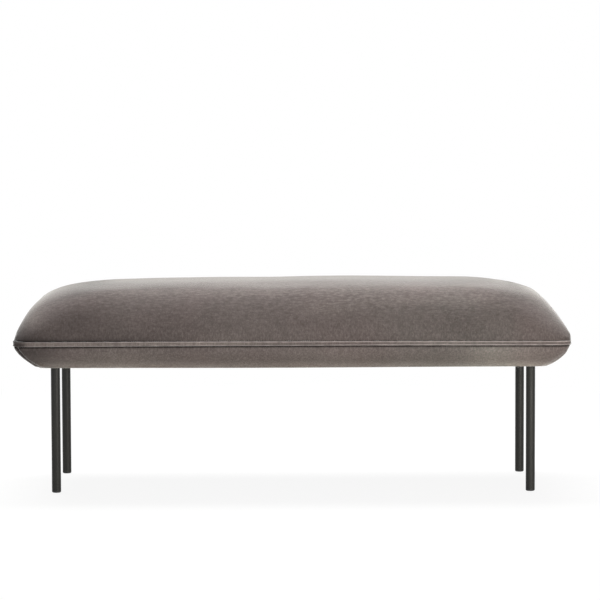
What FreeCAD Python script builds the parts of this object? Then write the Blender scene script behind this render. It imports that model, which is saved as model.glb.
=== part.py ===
import FreeCAD
import Part
import math
import os

# A long upholstered bench: a crowned velvet cushion with a narrow seam band round its rim and a
# border that slopes in underneath, on four upright round steel legs. It is modelled as it is made,
# from the glides on the floor up to the cover. X is the length, Y the depth with the front at -Y,
# Z is up, and the origin is on the floor under the middle of the seat. All sizes are millimetres.

# Seat, measured over the cover
SEAT_LENGTH = 1200.0
SEAT_DEPTH = 480.0
SEAT_HEIGHT = 460.0
CROWN_RISE = 122.0
BAND_HEIGHT = 12.0
BORDER_HEIGHT = 50.0
RIM_CORNER = 30.0
SEAM_TUCK = 1.0

# Seam band: a ridge along each seam, and a shallow groove between them
BAND_RIDGE_SETBACK = 1.5
BAND_GROOVE_SETBACK = 4.5
BAND_GROOVE_DEPTH = 0.8

# Crown: a steep shoulder, then a long slow rise to a small flat cap
SHOULDER_REACH = 46.0
CROWN_REACH = 150.0
SLOW_SHARE = 0.06
CAP_WIDTH = 52.0
CAP_ROUNDNESS = 0.88
ROUNDING_REACH = 60.0
CROWN_SECTIONS = 10
SECTION_CROWDING = 3.0

# Border under the band: how far it runs in, and how hollow its line is
BORDER_UNDERCUT = 53.0
BORDER_CURVE = 1.7
UNDERSIDE_CORNER = 16.0
BORDER_SECTIONS = 6

# Soft layers, measured square to the surface
COVER_THICKNESS = 1.5
WRAP_THICKNESS = 8.0
TOPPER_THICKNESS = 20.0
SMALLEST_CORNER = 8.0
TURN_IN = 25.0

# Dust cover
DUST_THICKNESS = 0.8
DUST_MARGIN = 8.0
DUST_CORNER = 10.0

# Plywood carcass
PADDING_AT_RIM = 7.0
PADDING_AT_UNDERSIDE = 4.0
CARCASS_CORNER = 22.0
BASE_THICKNESS = 18.0
TOP_FRAME_THICKNESS = 12.0
TOP_FRAME_REACH = 110.0
BEVEL_PANEL_THICKNESS = 3.0
SPACER_THICKNESS = 18.0
SPACER_SETBACK = 6.0
RIB_COUNT = 3
REBATE_CLEARANCE = 0.5
VENT_DIAMETER = 30.0
VENT_SPACING_Y = 120.0

# Webbing
WEB_WIDTH = 50.0
WEB_THICKNESS = 1.6
WEB_LAP = 35.0
WEB_EASE = 1.0
LONG_WEB_GAP = 30.0
CROSS_WEB_GAP = 60.0
WEB_CLEARANCE = 5.0

# Legs
TUBE_DIAMETER = 20.0
TUBE_WALL = 1.5
LEG_INSET_X = 83.0
LEG_INSET_Y = 87.0
WELD_SIZE = 2.5
PLATE_SIZE = 60.0
PLATE_THICKNESS = 4.0
PLATE_CORNER = 5.0
PLATE_EDGE = 0.5
PLATE_CLEARANCE = 1.0
HOLE_MARGIN = 9.0

# Glides in the feet
GLIDE_HEAD = 4.0
GLIDE_ROUNDING = 3.0
GLIDE_SHANK_LENGTH = 20.0
GLIDE_FIN_THICKNESS = 1.2
GLIDE_FIN_DEPTH = 1.5
GLIDE_FIN_PITCH = 5.0
GLIDE_FIN_COUNT = 3
GLIDE_FIN_CLEARANCE = 0.05

# Leg screws and the inserts that take them
LEG_SCREW_DIAMETER = 6.0
LEG_SCREW_HEAD = 12.0
LEG_SCREW_SHORTFALL = 1.0
SOCKET_ACROSS_FLATS = 4.0
SOCKET_DEPTH = 2.2
THREAD_CLEARANCE = 0.05
INSERT_DIAMETER = 10.0
INSERT_COVER = 2.0
PLATE_HOLE_DIAMETER = 6.6

# Wood screws in the carcass
WOOD_SCREW_DIAMETER = 4.0
WOOD_SCREW_HEAD = 8.0
WOOD_SCREW_BITE = 14.0
RAIL_SCREWS = 4
BASE_SCREW_SETBACK = 114.0
FRAME_SCREW_SETBACK = 64.0
SHORT_BASE_SCREW_SETBACK = 66.0
SHORT_FRAME_SCREW_SETBACK = 100.0

# Staples
STAPLE_CROWN = 10.0
STAPLE_WIDTH = 0.7
STAPLE_WIRE = 0.6
STAPLE_LEG = 6.0
COVER_STAPLE_PITCH = 50.0
COVER_STAPLE_SETBACK = 8.0
DUST_STAPLE_PITCH = 60.0
DUST_STAPLE_INSET = 4.5
WEB_STAPLE_MARGIN = 11.0
WEB_STAPLE_SETBACK = 12.0

# Half sizes and levels that follow from the sizes above
HALF_LENGTH = SEAT_LENGTH / 2
HALF_DEPTH = SEAT_DEPTH / 2
UPPER_SEAM_Z = SEAT_HEIGHT - CROWN_RISE
LOWER_SEAM_Z = UPPER_SEAM_Z - BAND_HEIGHT
UNDERSIDE_Z = LOWER_SEAM_Z - BORDER_HEIGHT
REBATE_Z = UNDERSIDE_Z + COVER_THICKNESS
BASE_TOP_Z = UNDERSIDE_Z + BASE_THICKNESS
TOP_FRAME_Z = LOWER_SEAM_Z - TOP_FRAME_THICKNESS
DUST_Z = UNDERSIDE_Z - DUST_THICKNESS
WEB_TOP_Z = LOWER_SEAM_Z + 2 * WEB_THICKNESS
UNDERSIDE_INSET = SEAM_TUCK + BORDER_UNDERCUT
DUST_INSET = UNDERSIDE_INSET + DUST_MARGIN
CAP_INSET = HALF_DEPTH - CAP_WIDTH / 2
BEVEL_TOP_INSET = SEAM_TUCK + PADDING_AT_RIM
BEVEL_RUN = UNDERSIDE_INSET + PADDING_AT_UNDERSIDE - BEVEL_TOP_INSET
OPENING_HALF_X = HALF_LENGTH - TOP_FRAME_REACH
OPENING_HALF_Y = HALF_DEPTH - TOP_FRAME_REACH
SPACER_INSET = TOP_FRAME_REACH - SPACER_SETBACK - SPACER_THICKNESS
SPACER_MIDDLE = SPACER_INSET + SPACER_THICKNESS / 2
RAIL_HALF = HALF_LENGTH - SPACER_INSET
RIB_HALF = HALF_DEPTH - SPACER_INSET - SPACER_THICKNESS
RIB_SPACING = (2 * RAIL_HALF - SPACER_THICKNESS) / (RIB_COUNT + 1)
LONG_WEB_PITCH = WEB_WIDTH + LONG_WEB_GAP
CROSS_WEB_PITCH = WEB_WIDTH + CROSS_WEB_GAP
LONG_WEBS = int((2 * OPENING_HALF_Y + LONG_WEB_GAP) // LONG_WEB_PITCH)
CROSS_WEBS = int((2 * OPENING_HALF_X + CROSS_WEB_GAP) // CROSS_WEB_PITCH)
WEB_RAMP = min(LONG_WEB_GAP, CROSS_WEB_GAP) / 2 - 3 * WEB_EASE
LEG_X = HALF_LENGTH - LEG_INSET_X
LEG_Y = HALF_DEPTH - LEG_INSET_Y
TUBE_RADIUS = TUBE_DIAMETER / 2
TUBE_BORE = TUBE_RADIUS - TUBE_WALL
PLATE_MARGIN = TUBE_RADIUS + WELD_SIZE + PLATE_EDGE
INSERT_LENGTH = BASE_THICKNESS - PLATE_THICKNESS - INSERT_COVER
LEG_SCREW_LENGTH = PLATE_THICKNESS + INSERT_LENGTH - LEG_SCREW_SHORTFALL

CORNERS = {
    "front_left": (-1, -1),
    "front_right": (1, -1),
    "back_left": (-1, 1),
    "back_right": (1, 1),
}
UP = FreeCAD.Vector(0, 0, 1)


# Drawing helpers

def rounded_rectangle(half_x, half_y, radius, z, centre=(0.0, 0.0)):
    """A closed wire of four lines and four quarter arcs, square to Z."""
    cx, cy = centre
    reach = radius * math.sqrt(0.5)
    edges = []
    for quarter in range(4):
        angle = math.radians(90 * quarter)
        across, along = (half_x, half_y) if quarter % 2 == 0 else (half_y, half_x)
        turned = FreeCAD.Rotation(UP, math.degrees(angle))

        def place(x, y):
            return turned.multVec(FreeCAD.Vector(x, y, 0)) + FreeCAD.Vector(cx, cy, z)

        side_start = place(across, radius - along)
        side_end = place(across, along - radius)
        arc_middle = place(across - radius + reach, along - radius + reach)
        arc_end = place(across - radius, along)
        edges.append(Part.LineSegment(side_start, side_end).toShape())
        edges.append(Part.Arc(side_end, arc_middle, arc_end).toShape())
    return Part.Wire(edges)


def inset_wire(inset, radius, z):
    """The seat's outline in plan, drawn in by inset on every side."""
    return rounded_rectangle(HALF_LENGTH - inset, HALF_DEPTH - inset, radius, z)


def prism(wire, height):
    """The solid that a flat closed wire sweeps upwards."""
    return Part.Face(wire).extrude(UP * height)


def slab(z_low, z_high):
    """A block that is wider than the seat, between two levels."""
    reach = SEAT_LENGTH
    corner = FreeCAD.Vector(-reach, -reach, z_low)
    return Part.makeBox(2 * reach, 2 * reach, z_high - z_low, corner)


def block(x_low, x_high, y_low, y_high, z_low, z_high):
    """A box between two corners."""
    corner = FreeCAD.Vector(x_low, y_low, z_low)
    return Part.makeBox(x_high - x_low, y_high - y_low, z_high - z_low, corner)


def cylinder(x, y, z_low, z_high, radius):
    """An upright round bar."""
    return Part.makeCylinder(radius, z_high - z_low, FreeCAD.Vector(x, y, z_low), UP)


def turned(profile, x, y):
    """A solid turned about the upright axis through x, y from (radius, z) points."""
    points = [FreeCAD.Vector(x + radius, y, z) for radius, z in profile]
    face = Part.Face(Part.makePolygon(points + points[:1]))
    return face.revolve(FreeCAD.Vector(x, y, 0), UP, 360)


def spread(count, pitch):
    """Places of count things at an even pitch, about the middle."""
    return [(index - (count - 1) / 2) * pitch for index in range(count)]


def places_within(reach, pitch):
    """Places at an even pitch from the middle out to reach on both sides."""
    return spread(2 * int(reach // pitch) + 1, pitch)


# The cushion's outline: every soft layer lies a stated distance under the cover's face

def crown_drop(inset):
    """How far the crown still has to rise at an inset from the rim, as a share of its full rise."""
    steep = (1 - SLOW_SHARE) * math.exp(-(inset - SEAM_TUCK) / SHOULDER_REACH)
    slow = SLOW_SHARE * math.exp(-(inset - SEAM_TUCK) / CROWN_REACH)
    return steep + slow


def crown_slope(inset):
    """Rise of the crown for each millimetre inwards."""
    steep = (1 - SLOW_SHARE) * math.exp(-(inset - SEAM_TUCK) / SHOULDER_REACH) / SHOULDER_REACH
    slow = SLOW_SHARE * math.exp(-(inset - SEAM_TUCK) / CROWN_REACH) / CROWN_REACH
    return CROWN_RISE * (steep + slow) / (1 - crown_drop(CAP_INSET))


def crown_share(inset):
    """Level of the cover's face as a share of the rise from the upper seam to the cap."""
    return (1 - crown_drop(inset)) / (1 - crown_drop(CAP_INSET))


def crown_corner(inset):
    """Corner radius in plan: tight at the rim, nearly a half round at the cap."""
    rim_share = RIM_CORNER / HALF_DEPTH
    rounding = 1 - math.exp(-(inset - SEAM_TUCK) / ROUNDING_REACH)
    return (HALF_DEPTH - inset) * (rim_share + (CAP_ROUNDNESS - rim_share) * rounding)


def crown_sections(under):
    """Outlines of the crown of the layer that starts this far under the cover's face."""
    wires = []
    for index in range(CROWN_SECTIONS + 1):
        share = math.expm1(SECTION_CROWDING * index / CROWN_SECTIONS) / math.expm1(SECTION_CROWDING)
        inset = SEAM_TUCK + (CAP_INSET - SEAM_TUCK) * share
        lean = math.atan(crown_slope(inset))
        inwards = under * math.sin(lean)
        layer_inset = max(under, inset + inwards)
        radius = max(SMALLEST_CORNER, crown_corner(inset) - inwards)
        z = UPPER_SEAM_Z + CROWN_RISE * crown_share(inset) - under * math.cos(lean)
        wires.append(inset_wire(layer_inset, radius, z))
    return wires


def crown_solid(under):
    """Everything under the cover's face at that depth, from the upper seam to the cap."""
    return Part.makeLoft(crown_sections(under), True, False)


def cushion_core(under):
    """The same, carried straight down to the top of the carcass."""
    sections = crown_sections(under)
    crown = Part.makeLoft(sections, True, False)
    lowest = sections[0].BoundBox.ZMin
    if lowest > LOWER_SEAM_Z:
        foot = sections[0].copy()
        foot.translate(UP * (LOWER_SEAM_Z - lowest))
        return crown.fuse(prism(foot, lowest - LOWER_SEAM_Z))
    return crown.common(slab(LOWER_SEAM_Z, SEAT_HEIGHT))


def border_solid(under):
    """Everything under the cover's face at that depth, from the underside to the lower seam."""
    wires = []
    for index in range(BORDER_SECTIONS + 1):
        share = index / BORDER_SECTIONS
        inset = SEAM_TUCK + BORDER_UNDERCUT * share ** BORDER_CURVE
        run = BORDER_UNDERCUT * BORDER_CURVE * share ** (BORDER_CURVE - 1)
        lean = math.atan2(BORDER_HEIGHT, run)
        inwards = under * math.sin(lean)
        upwards = under * math.cos(lean)
        radius = RIM_CORNER + (UNDERSIDE_CORNER - RIM_CORNER) * share - inwards
        wires.append(inset_wire(inset + inwards, radius, LOWER_SEAM_Z - BORDER_HEIGHT * share + upwards))
    return Part.makeLoft(wires, True, False)


# Carcass outline: a straight bevel from the rim to the underside

def bevel_inset(z, behind):
    """Inset of the carcass at a level, for a face that lies behind the bevel's outer face."""
    slope = BEVEL_RUN / BORDER_HEIGHT
    return BEVEL_TOP_INSET + slope * (LOWER_SEAM_Z - z) + behind * math.hypot(1, slope)


def bevel_solid(z_low, z_high, behind):
    """A slice of the carcass between two levels, with bevelled edges."""
    wires = [inset_wire(bevel_inset(z, behind), CARCASS_CORNER, z) for z in (z_low, z_high)]
    return Part.makeLoft(wires, True, True)


# Fasteners

def countersunk_head(x, y, z, head_radius, shank_radius, upwards):
    """A countersunk head whose flat face is at z and whose cone points up or down."""
    height = head_radius - shank_radius
    axis = UP * upwards
    return Part.makeCone(head_radius, shank_radius, height, FreeCAD.Vector(x, y, z), axis)


def wood_screw(x, y, z, length, upwards):
    """A countersunk wood screw driven up or down from its head at z."""
    radius = WOOD_SCREW_DIAMETER / 2
    head = countersunk_head(x, y, z, WOOD_SCREW_HEAD / 2, radius, upwards)
    start = FreeCAD.Vector(x, y, z)
    straight = length - WOOD_SCREW_DIAMETER
    shank = Part.makeCylinder(radius, straight, start, UP * upwards)
    tip_start = start + UP * (upwards * straight)
    tip = Part.makeCone(radius, 0, WOOD_SCREW_DIAMETER, tip_start, UP * upwards)
    return head.fuse([shank, tip]).removeSplitter()


def leg_screw(x, y):
    """A countersunk machine screw with a hexagon socket, flush with the leg plate's lower face."""
    radius = LEG_SCREW_DIAMETER / 2 - THREAD_CLEARANCE
    head = countersunk_head(x, y, UNDERSIDE_Z, LEG_SCREW_HEAD / 2, radius, 1)
    shank = cylinder(x, y, UNDERSIDE_Z, UNDERSIDE_Z + LEG_SCREW_LENGTH, radius)
    across_corners = SOCKET_ACROSS_FLATS / math.cos(math.radians(30))
    corners = []
    for index in range(7):
        angle = math.radians(60 * index)
        offset = FreeCAD.Vector(math.cos(angle), math.sin(angle), 0) * (across_corners / 2)
        corners.append(FreeCAD.Vector(x, y, UNDERSIDE_Z) + offset)
    socket = prism(Part.makePolygon(corners), SOCKET_DEPTH)
    return head.fuse(shank).removeSplitter().cut(socket)


def staple(x, y, z, along_x, upwards):
    """A staple whose crown lies on the level z and whose two legs point up or down."""
    half = STAPLE_CROWN / 2
    wide = STAPLE_WIDTH / 2
    near = STAPLE_WIRE * upwards
    far = near + STAPLE_LEG * upwards
    pieces = []
    for low, high, z_one, z_two in (
        (-half, half, 0, near),
        (-half, -half + STAPLE_WIRE, near, far),
        (half - STAPLE_WIRE, half, near, far),
    ):
        z_low, z_high = sorted((z + z_one, z + z_two))
        if along_x:
            pieces.append(block(x + low, x + high, y - wide, y + wide, z_low, z_high))
        else:
            pieces.append(block(x - wide, x + wide, y + low, y + high, z_low, z_high))
    return pieces[0].fuse(pieces[1:]).removeSplitter()


# Where things go

def plate_centre(corner):
    """Middle of a leg plate, which reaches inwards from the leg at the seat's corner."""
    side_x, side_y = CORNERS[corner]
    back = PLATE_SIZE / 2 - PLATE_MARGIN
    return side_x * (LEG_X - back), side_y * (LEG_Y - back)


def plate_outline(corner, z, clearance=0.0):
    """Outline of a leg plate, or of a window round it."""
    half = PLATE_SIZE / 2 + clearance
    return rounded_rectangle(half, half, PLATE_CORNER + clearance, z, plate_centre(corner))


def plate_windows(z_low, z_high, clearance):
    """The four openings that a sheet needs to clear the leg plates."""
    return [prism(plate_outline(name, z_low, clearance), z_high - z_low) for name in CORNERS]


def leg_screw_places(corner):
    """The three screw places of a leg plate: every plate corner but the leg's own."""
    side_x, side_y = CORNERS[corner]
    cx, cy = plate_centre(corner)
    reach = PLATE_SIZE / 2 - HOLE_MARGIN
    signs = ((-side_x, -side_y), (-side_x, side_y), (side_x, -side_y))
    return [(cx + sx * reach, cy + sy * reach) for sx, sy in signs]


def carcass_screw_places(rail_setback, short_setback):
    """Screws along the long rails, and a pair in each end rail."""
    middle_x = HALF_LENGTH - SPACER_MIDDLE
    middle_y = HALF_DEPTH - SPACER_MIDDLE
    pitch = 2 * (RAIL_HALF - rail_setback) / (RAIL_SCREWS - 1)
    end_y = RIB_HALF - short_setback
    places = [(x, y) for x in spread(RAIL_SCREWS, pitch) for y in (-middle_y, middle_y)]
    return places + [(x, y) for x in (-middle_x, middle_x) for y in (-end_y, end_y)]


def base_screw_places():
    """Screws up through the base board into the long rails, the end rails and the ribs."""
    rib_y = RIB_HALF - SHORT_BASE_SCREW_SETBACK
    ribs = [(x, y) for x in spread(RIB_COUNT, RIB_SPACING) for y in (-rib_y, rib_y)]
    return carcass_screw_places(BASE_SCREW_SETBACK, SHORT_BASE_SCREW_SETBACK) + ribs


def frame_screw_places():
    """Screws down through the top frame into the long rails and the end rails."""
    return carcass_screw_places(FRAME_SCREW_SETBACK, SHORT_FRAME_SCREW_SETBACK)


def edge_staples(inset, pitch, z):
    """Staples round the underside at an inset, kept out of the corners where the legs stand."""
    clear_x = LEG_X - PLATE_MARGIN
    clear_y = LEG_Y - PLATE_SIZE + PLATE_MARGIN - STAPLE_CROWN
    edge_x = HALF_LENGTH - inset
    edge_y = HALF_DEPTH - inset
    made = []
    for x in places_within(clear_x, pitch):
        made += [staple(x, y, z, True, 1) for y in (-edge_y, edge_y)]
    for y in places_within(clear_y, pitch):
        made += [staple(x, y, z, False, 1) for x in (-edge_x, edge_x)]
    return made


def webbing_staples():
    """Two staples at each end of each strip of webbing."""
    end_x = OPENING_HALF_X + WEB_LAP - WEB_STAPLE_SETBACK
    end_y = OPENING_HALF_Y + WEB_LAP - WEB_STAPLE_SETBACK
    z = LOWER_SEAM_Z + WEB_THICKNESS + STAPLE_WIRE
    made = []
    spread_half = WEB_WIDTH / 2 - WEB_STAPLE_MARGIN
    for offset in (-spread_half, spread_half):
        for y in spread(LONG_WEBS, LONG_WEB_PITCH):
            made += [staple(x, y + offset, z, False, -1) for x in (-end_x, end_x)]
        for x in spread(CROSS_WEBS, CROSS_WEB_PITCH):
            made += [staple(x + offset, y, z, True, -1) for y in (-end_y, end_y)]
    return made


# Legs

def leg_tube(corner):
    """Round steel tube from the glide's head up to the leg plate."""
    x, y = (side * reach for side, reach in zip(CORNERS[corner], (LEG_X, LEG_Y)))
    outside = cylinder(x, y, GLIDE_HEAD, UNDERSIDE_Z, TUBE_RADIUS)
    return outside.cut(cylinder(x, y, GLIDE_HEAD, UNDERSIDE_Z, TUBE_BORE))


def leg_plate(corner):
    """Steel plate let into the underside of the base board, with three countersunk holes."""
    plate = prism(plate_outline(corner, UNDERSIDE_Z), PLATE_THICKNESS)
    hole = PLATE_HOLE_DIAMETER / 2
    head = LEG_SCREW_HEAD / 2 + hole - LEG_SCREW_DIAMETER / 2
    for x, y in leg_screw_places(corner):
        plate = plate.cut(cylinder(x, y, UNDERSIDE_Z, UNDERSIDE_Z + PLATE_THICKNESS, hole))
        plate = plate.cut(countersunk_head(x, y, UNDERSIDE_Z, head, hole, 1))
    return plate


def weld_bead(corner):
    """Fillet weld between the tube and the leg plate."""
    x, y = (side * reach for side, reach in zip(CORNERS[corner], (LEG_X, LEG_Y)))
    profile = [
        (TUBE_RADIUS, UNDERSIDE_Z - WELD_SIZE),
        (TUBE_RADIUS + WELD_SIZE, UNDERSIDE_Z),
        (TUBE_RADIUS, UNDERSIDE_Z),
    ]
    return turned(profile, x, y)


def foot_glide(corner):
    """Nylon insert: a head with a rounded edge on the floor, and a finned shank in the tube."""
    x, y = (side * reach for side, reach in zip(CORNERS[corner], (LEG_X, LEG_Y)))
    head = cylinder(x, y, 0, GLIDE_HEAD, TUBE_RADIUS)
    sole_edges = [edge for edge in head.Edges if edge.BoundBox.ZMax < GLIDE_HEAD / 2]
    head = head.makeFillet(GLIDE_ROUNDING, sole_edges)
    shank_top = GLIDE_HEAD + GLIDE_SHANK_LENGTH
    fin_radius = TUBE_BORE - GLIDE_FIN_CLEARANCE
    pieces = [cylinder(x, y, GLIDE_HEAD, shank_top, fin_radius - GLIDE_FIN_DEPTH)]
    for index in range(GLIDE_FIN_COUNT):
        z = GLIDE_HEAD + GLIDE_FIN_PITCH * (index + 1)
        pieces.append(cylinder(x, y, z, z + GLIDE_FIN_THICKNESS, fin_radius))
    return head.fuse(pieces).removeSplitter()


def threaded_insert(x, y):
    """Screw-in insert in the base board, above a leg plate's hole."""
    z_low = UNDERSIDE_Z + PLATE_THICKNESS
    outside = cylinder(x, y, z_low, z_low + INSERT_LENGTH, INSERT_DIAMETER / 2)
    return outside.cut(cylinder(x, y, z_low, z_low + INSERT_LENGTH, LEG_SCREW_DIAMETER / 2))


# Carcass

def base_board():
    """Plywood board that carries the legs, with a rebate for the turned-in cover."""
    board = bevel_solid(UNDERSIDE_Z, BASE_TOP_Z, BEVEL_PANEL_THICKNESS)
    flat = UNDERSIDE_INSET + TURN_IN + REBATE_CLEARANCE
    kept = prism(inset_wire(flat, CARCASS_CORNER, UNDERSIDE_Z), COVER_THICKNESS)
    cuts = [slab(UNDERSIDE_Z, REBATE_Z).cut(kept)]
    cuts += plate_windows(UNDERSIDE_Z, UNDERSIDE_Z + PLATE_THICKNESS, REBATE_CLEARANCE)
    insert_low = UNDERSIDE_Z + PLATE_THICKNESS
    for corner in CORNERS:
        for x, y in leg_screw_places(corner):
            cuts.append(cylinder(x, y, insert_low, insert_low + INSERT_LENGTH, INSERT_DIAMETER / 2))
    for x in spread(RIB_COUNT + 1, RIB_SPACING):
        for y in spread(2, VENT_SPACING_Y):
            cuts.append(cylinder(x, y, UNDERSIDE_Z, BASE_TOP_Z, VENT_DIAMETER / 2))
    return board.cut(cuts)


def top_frame_board(along_x, side):
    """One board of the plywood frame at the rim. The end boards butt between the long ones."""
    frame = bevel_solid(TOP_FRAME_Z, LOWER_SEAM_Z, BEVEL_PANEL_THICKNESS)
    low, high = sorted((side * OPENING_HALF_Y, side * HALF_DEPTH))
    if along_x:
        return frame.common(block(-HALF_LENGTH, HALF_LENGTH, low, high, TOP_FRAME_Z, LOWER_SEAM_Z))
    low, high = sorted((side * OPENING_HALF_X, side * HALF_LENGTH))
    across = OPENING_HALF_Y
    return frame.common(block(low, high, -across, across, TOP_FRAME_Z, LOWER_SEAM_Z))


def long_rail(side):
    """Spacer rail between the base board and the top frame, along the front or the back."""
    y_one = side * (HALF_DEPTH - SPACER_INSET)
    y_two = y_one - side * SPACER_THICKNESS
    low, high = sorted((y_one, y_two))
    return block(-RAIL_HALF, RAIL_HALF, low, high, BASE_TOP_Z, TOP_FRAME_Z)


def end_rail(side):
    """Spacer rail at one end, between the long rails."""
    x_one = side * (HALF_LENGTH - SPACER_INSET)
    x_two = x_one - side * SPACER_THICKNESS
    low, high = sorted((x_one, x_two))
    return block(low, high, -RIB_HALF, RIB_HALF, BASE_TOP_Z, TOP_FRAME_Z)


def cross_rib(x):
    """Rib across the base board, between the long rails and clear of the webbing."""
    half = SPACER_THICKNESS / 2
    return block(x - half, x + half, -RIB_HALF, RIB_HALF, BASE_TOP_Z, TOP_FRAME_Z)


def bevel_panel(along_x, side):
    """Hardboard strip on the bevelled edges of the base board and the top frame."""
    behind = BEVEL_PANEL_THICKNESS
    levels = (REBATE_Z, LOWER_SEAM_Z)
    half_across, half_along = (HALF_DEPTH, HALF_LENGTH) if along_x else (HALF_LENGTH, HALF_DEPTH)
    run = half_along - bevel_inset(REBATE_Z, 0) - CARCASS_CORNER
    outer = [(half_across - bevel_inset(z, 0), z) for z in levels]
    inner = [(half_across - bevel_inset(z, behind), z) for z in reversed(levels)]
    points = []
    for across, z in outer + inner:
        if along_x:
            points.append(FreeCAD.Vector(-run, side * across, z))
        else:
            points.append(FreeCAD.Vector(side * across, -run, z))
    direction = FreeCAD.Vector(1, 0, 0) if along_x else FreeCAD.Vector(0, 1, 0)
    return Part.Face(Part.makePolygon(points + points[:1])).extrude(direction * (2 * run))


# Webbing

def strip_profile(half_run, crossings, half_crossing):
    """Side view of a strip: (place, level) points that step up over the strips it crosses."""
    low = LOWER_SEAM_Z
    high = low + WEB_THICKNESS
    points = [(-half_run, low)]
    for place, over in crossings:
        if over:
            points.append((place - half_crossing - WEB_RAMP, low))
            points.append((place - half_crossing, high))
            points.append((place + half_crossing, high))
            points.append((place + half_crossing + WEB_RAMP, low))
    points.append((half_run, low))
    return points


def web_strip(half_run, crossings, along_x, offset):
    """One strip of webbing, woven over every second strip that crosses it."""
    profile = strip_profile(half_run, crossings, WEB_WIDTH / 2 + WEB_EASE)
    upper = [(place, level + WEB_THICKNESS) for place, level in reversed(profile)]
    start = offset - WEB_WIDTH / 2
    points = []
    for place, level in profile + upper:
        if along_x:
            points.append(FreeCAD.Vector(place, start, level))
        else:
            points.append(FreeCAD.Vector(start, place, level))
    direction = FreeCAD.Vector(0, 1, 0) if along_x else FreeCAD.Vector(1, 0, 0)
    return Part.Face(Part.makePolygon(points + points[:1])).extrude(direction * WEB_WIDTH)


def long_webbing():
    """Strips along the seat."""
    across = spread(CROSS_WEBS, CROSS_WEB_PITCH)
    strips = []
    for row, y in enumerate(spread(LONG_WEBS, LONG_WEB_PITCH)):
        crossings = [(x, (row + column) % 2 == 1) for column, x in enumerate(across)]
        strips.append(web_strip(OPENING_HALF_X + WEB_LAP, crossings, True, y))
    return strips


def cross_webbing():
    """Strips across the seat."""
    along = spread(LONG_WEBS, LONG_WEB_PITCH)
    strips = []
    for column, x in enumerate(spread(CROSS_WEBS, CROSS_WEB_PITCH)):
        crossings = [(y, (row + column) % 2 == 0) for row, y in enumerate(along)]
        strips.append(web_strip(OPENING_HALF_Y + WEB_LAP, crossings, False, x))
    return strips


# Upholstery

def foam_core():
    """Firm foam block that rests on the top frame and on the webbing."""
    core = cushion_core(COVER_THICKNESS + WRAP_THICKNESS + TOPPER_THICKNESS)
    half_x = OPENING_HALF_X + WEB_LAP + WEB_CLEARANCE
    half_y = OPENING_HALF_Y + WEB_LAP + WEB_CLEARANCE
    return core.cut(block(-half_x, half_x, -half_y, half_y, LOWER_SEAM_Z, WEB_TOP_Z))


def soft_layer(under, thickness):
    """A layer of even thickness between two depths under the cover's face."""
    return cushion_core(under).cut(cushion_core(under + thickness))


def cover_top():
    """Velvet top panel, from the upper seam over the crown."""
    return crown_solid(0).cut(cushion_core(COVER_THICKNESS))


def seam_band():
    """Narrow folded band of velvet between the two seams, with a ridge along each of them."""
    half = [(0.0, SEAM_TUCK), (BAND_RIDGE_SETBACK, 0.0), (BAND_GROOVE_SETBACK, BAND_GROOVE_DEPTH)]
    levels = [(LOWER_SEAM_Z + setback, inset) for setback, inset in half]
    levels += [(UPPER_SEAM_Z - setback, inset) for setback, inset in reversed(half)]
    wires = [inset_wire(inset, RIM_CORNER - inset, z) for z, inset in levels]
    return Part.makeLoft(wires, True, True).cut(cushion_core(COVER_THICKNESS))


def cover_border():
    """Velvet border all round, from the lower seam down and turned in under the base board."""
    inside = border_solid(COVER_THICKNESS).common(slab(REBATE_Z, LOWER_SEAM_Z))
    turned_in = UNDERSIDE_INSET + TURN_IN
    opening = prism(inset_wire(turned_in, CARCASS_CORNER, UNDERSIDE_Z), COVER_THICKNESS)
    windows = plate_windows(UNDERSIDE_Z, REBATE_Z, PLATE_CLEARANCE)
    return border_solid(0).cut([inside, opening] + windows)


def border_padding():
    """Felt between the carcass bevel and the velvet border."""
    outside = border_solid(COVER_THICKNESS).common(slab(REBATE_Z, LOWER_SEAM_Z))
    return outside.cut(bevel_solid(REBATE_Z, LOWER_SEAM_Z, 0))


def mitre_wedge(name):
    """The part of the plan that belongs to one side, with mitred corners."""
    beyond = SEAM_TUCK
    far_x = HALF_LENGTH + beyond
    far_y = HALF_DEPTH + beyond
    ridge = HALF_LENGTH - HALF_DEPTH
    outlines = {
        "front": [(-far_x, -far_y), (far_x, -far_y), (ridge, 0), (-ridge, 0)],
        "back": [(-far_x, far_y), (-ridge, 0), (ridge, 0), (far_x, far_y)],
        "left": [(-far_x, -far_y), (-ridge, 0), (-far_x, far_y)],
        "right": [(far_x, -far_y), (far_x, far_y), (ridge, 0)],
    }
    points = [FreeCAD.Vector(x, y, UNDERSIDE_Z) for x, y in outlines[name]]
    return prism(Part.makePolygon(points + points[:1]), BORDER_HEIGHT)


def dust_cover():
    """Thin sheet under the base board, with windows for the leg plates."""
    sheet = prism(inset_wire(DUST_INSET, DUST_CORNER, DUST_Z), DUST_THICKNESS)
    return sheet.cut(plate_windows(DUST_Z, UNDERSIDE_Z, PLATE_CLEARANCE))


# Assembly

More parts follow.
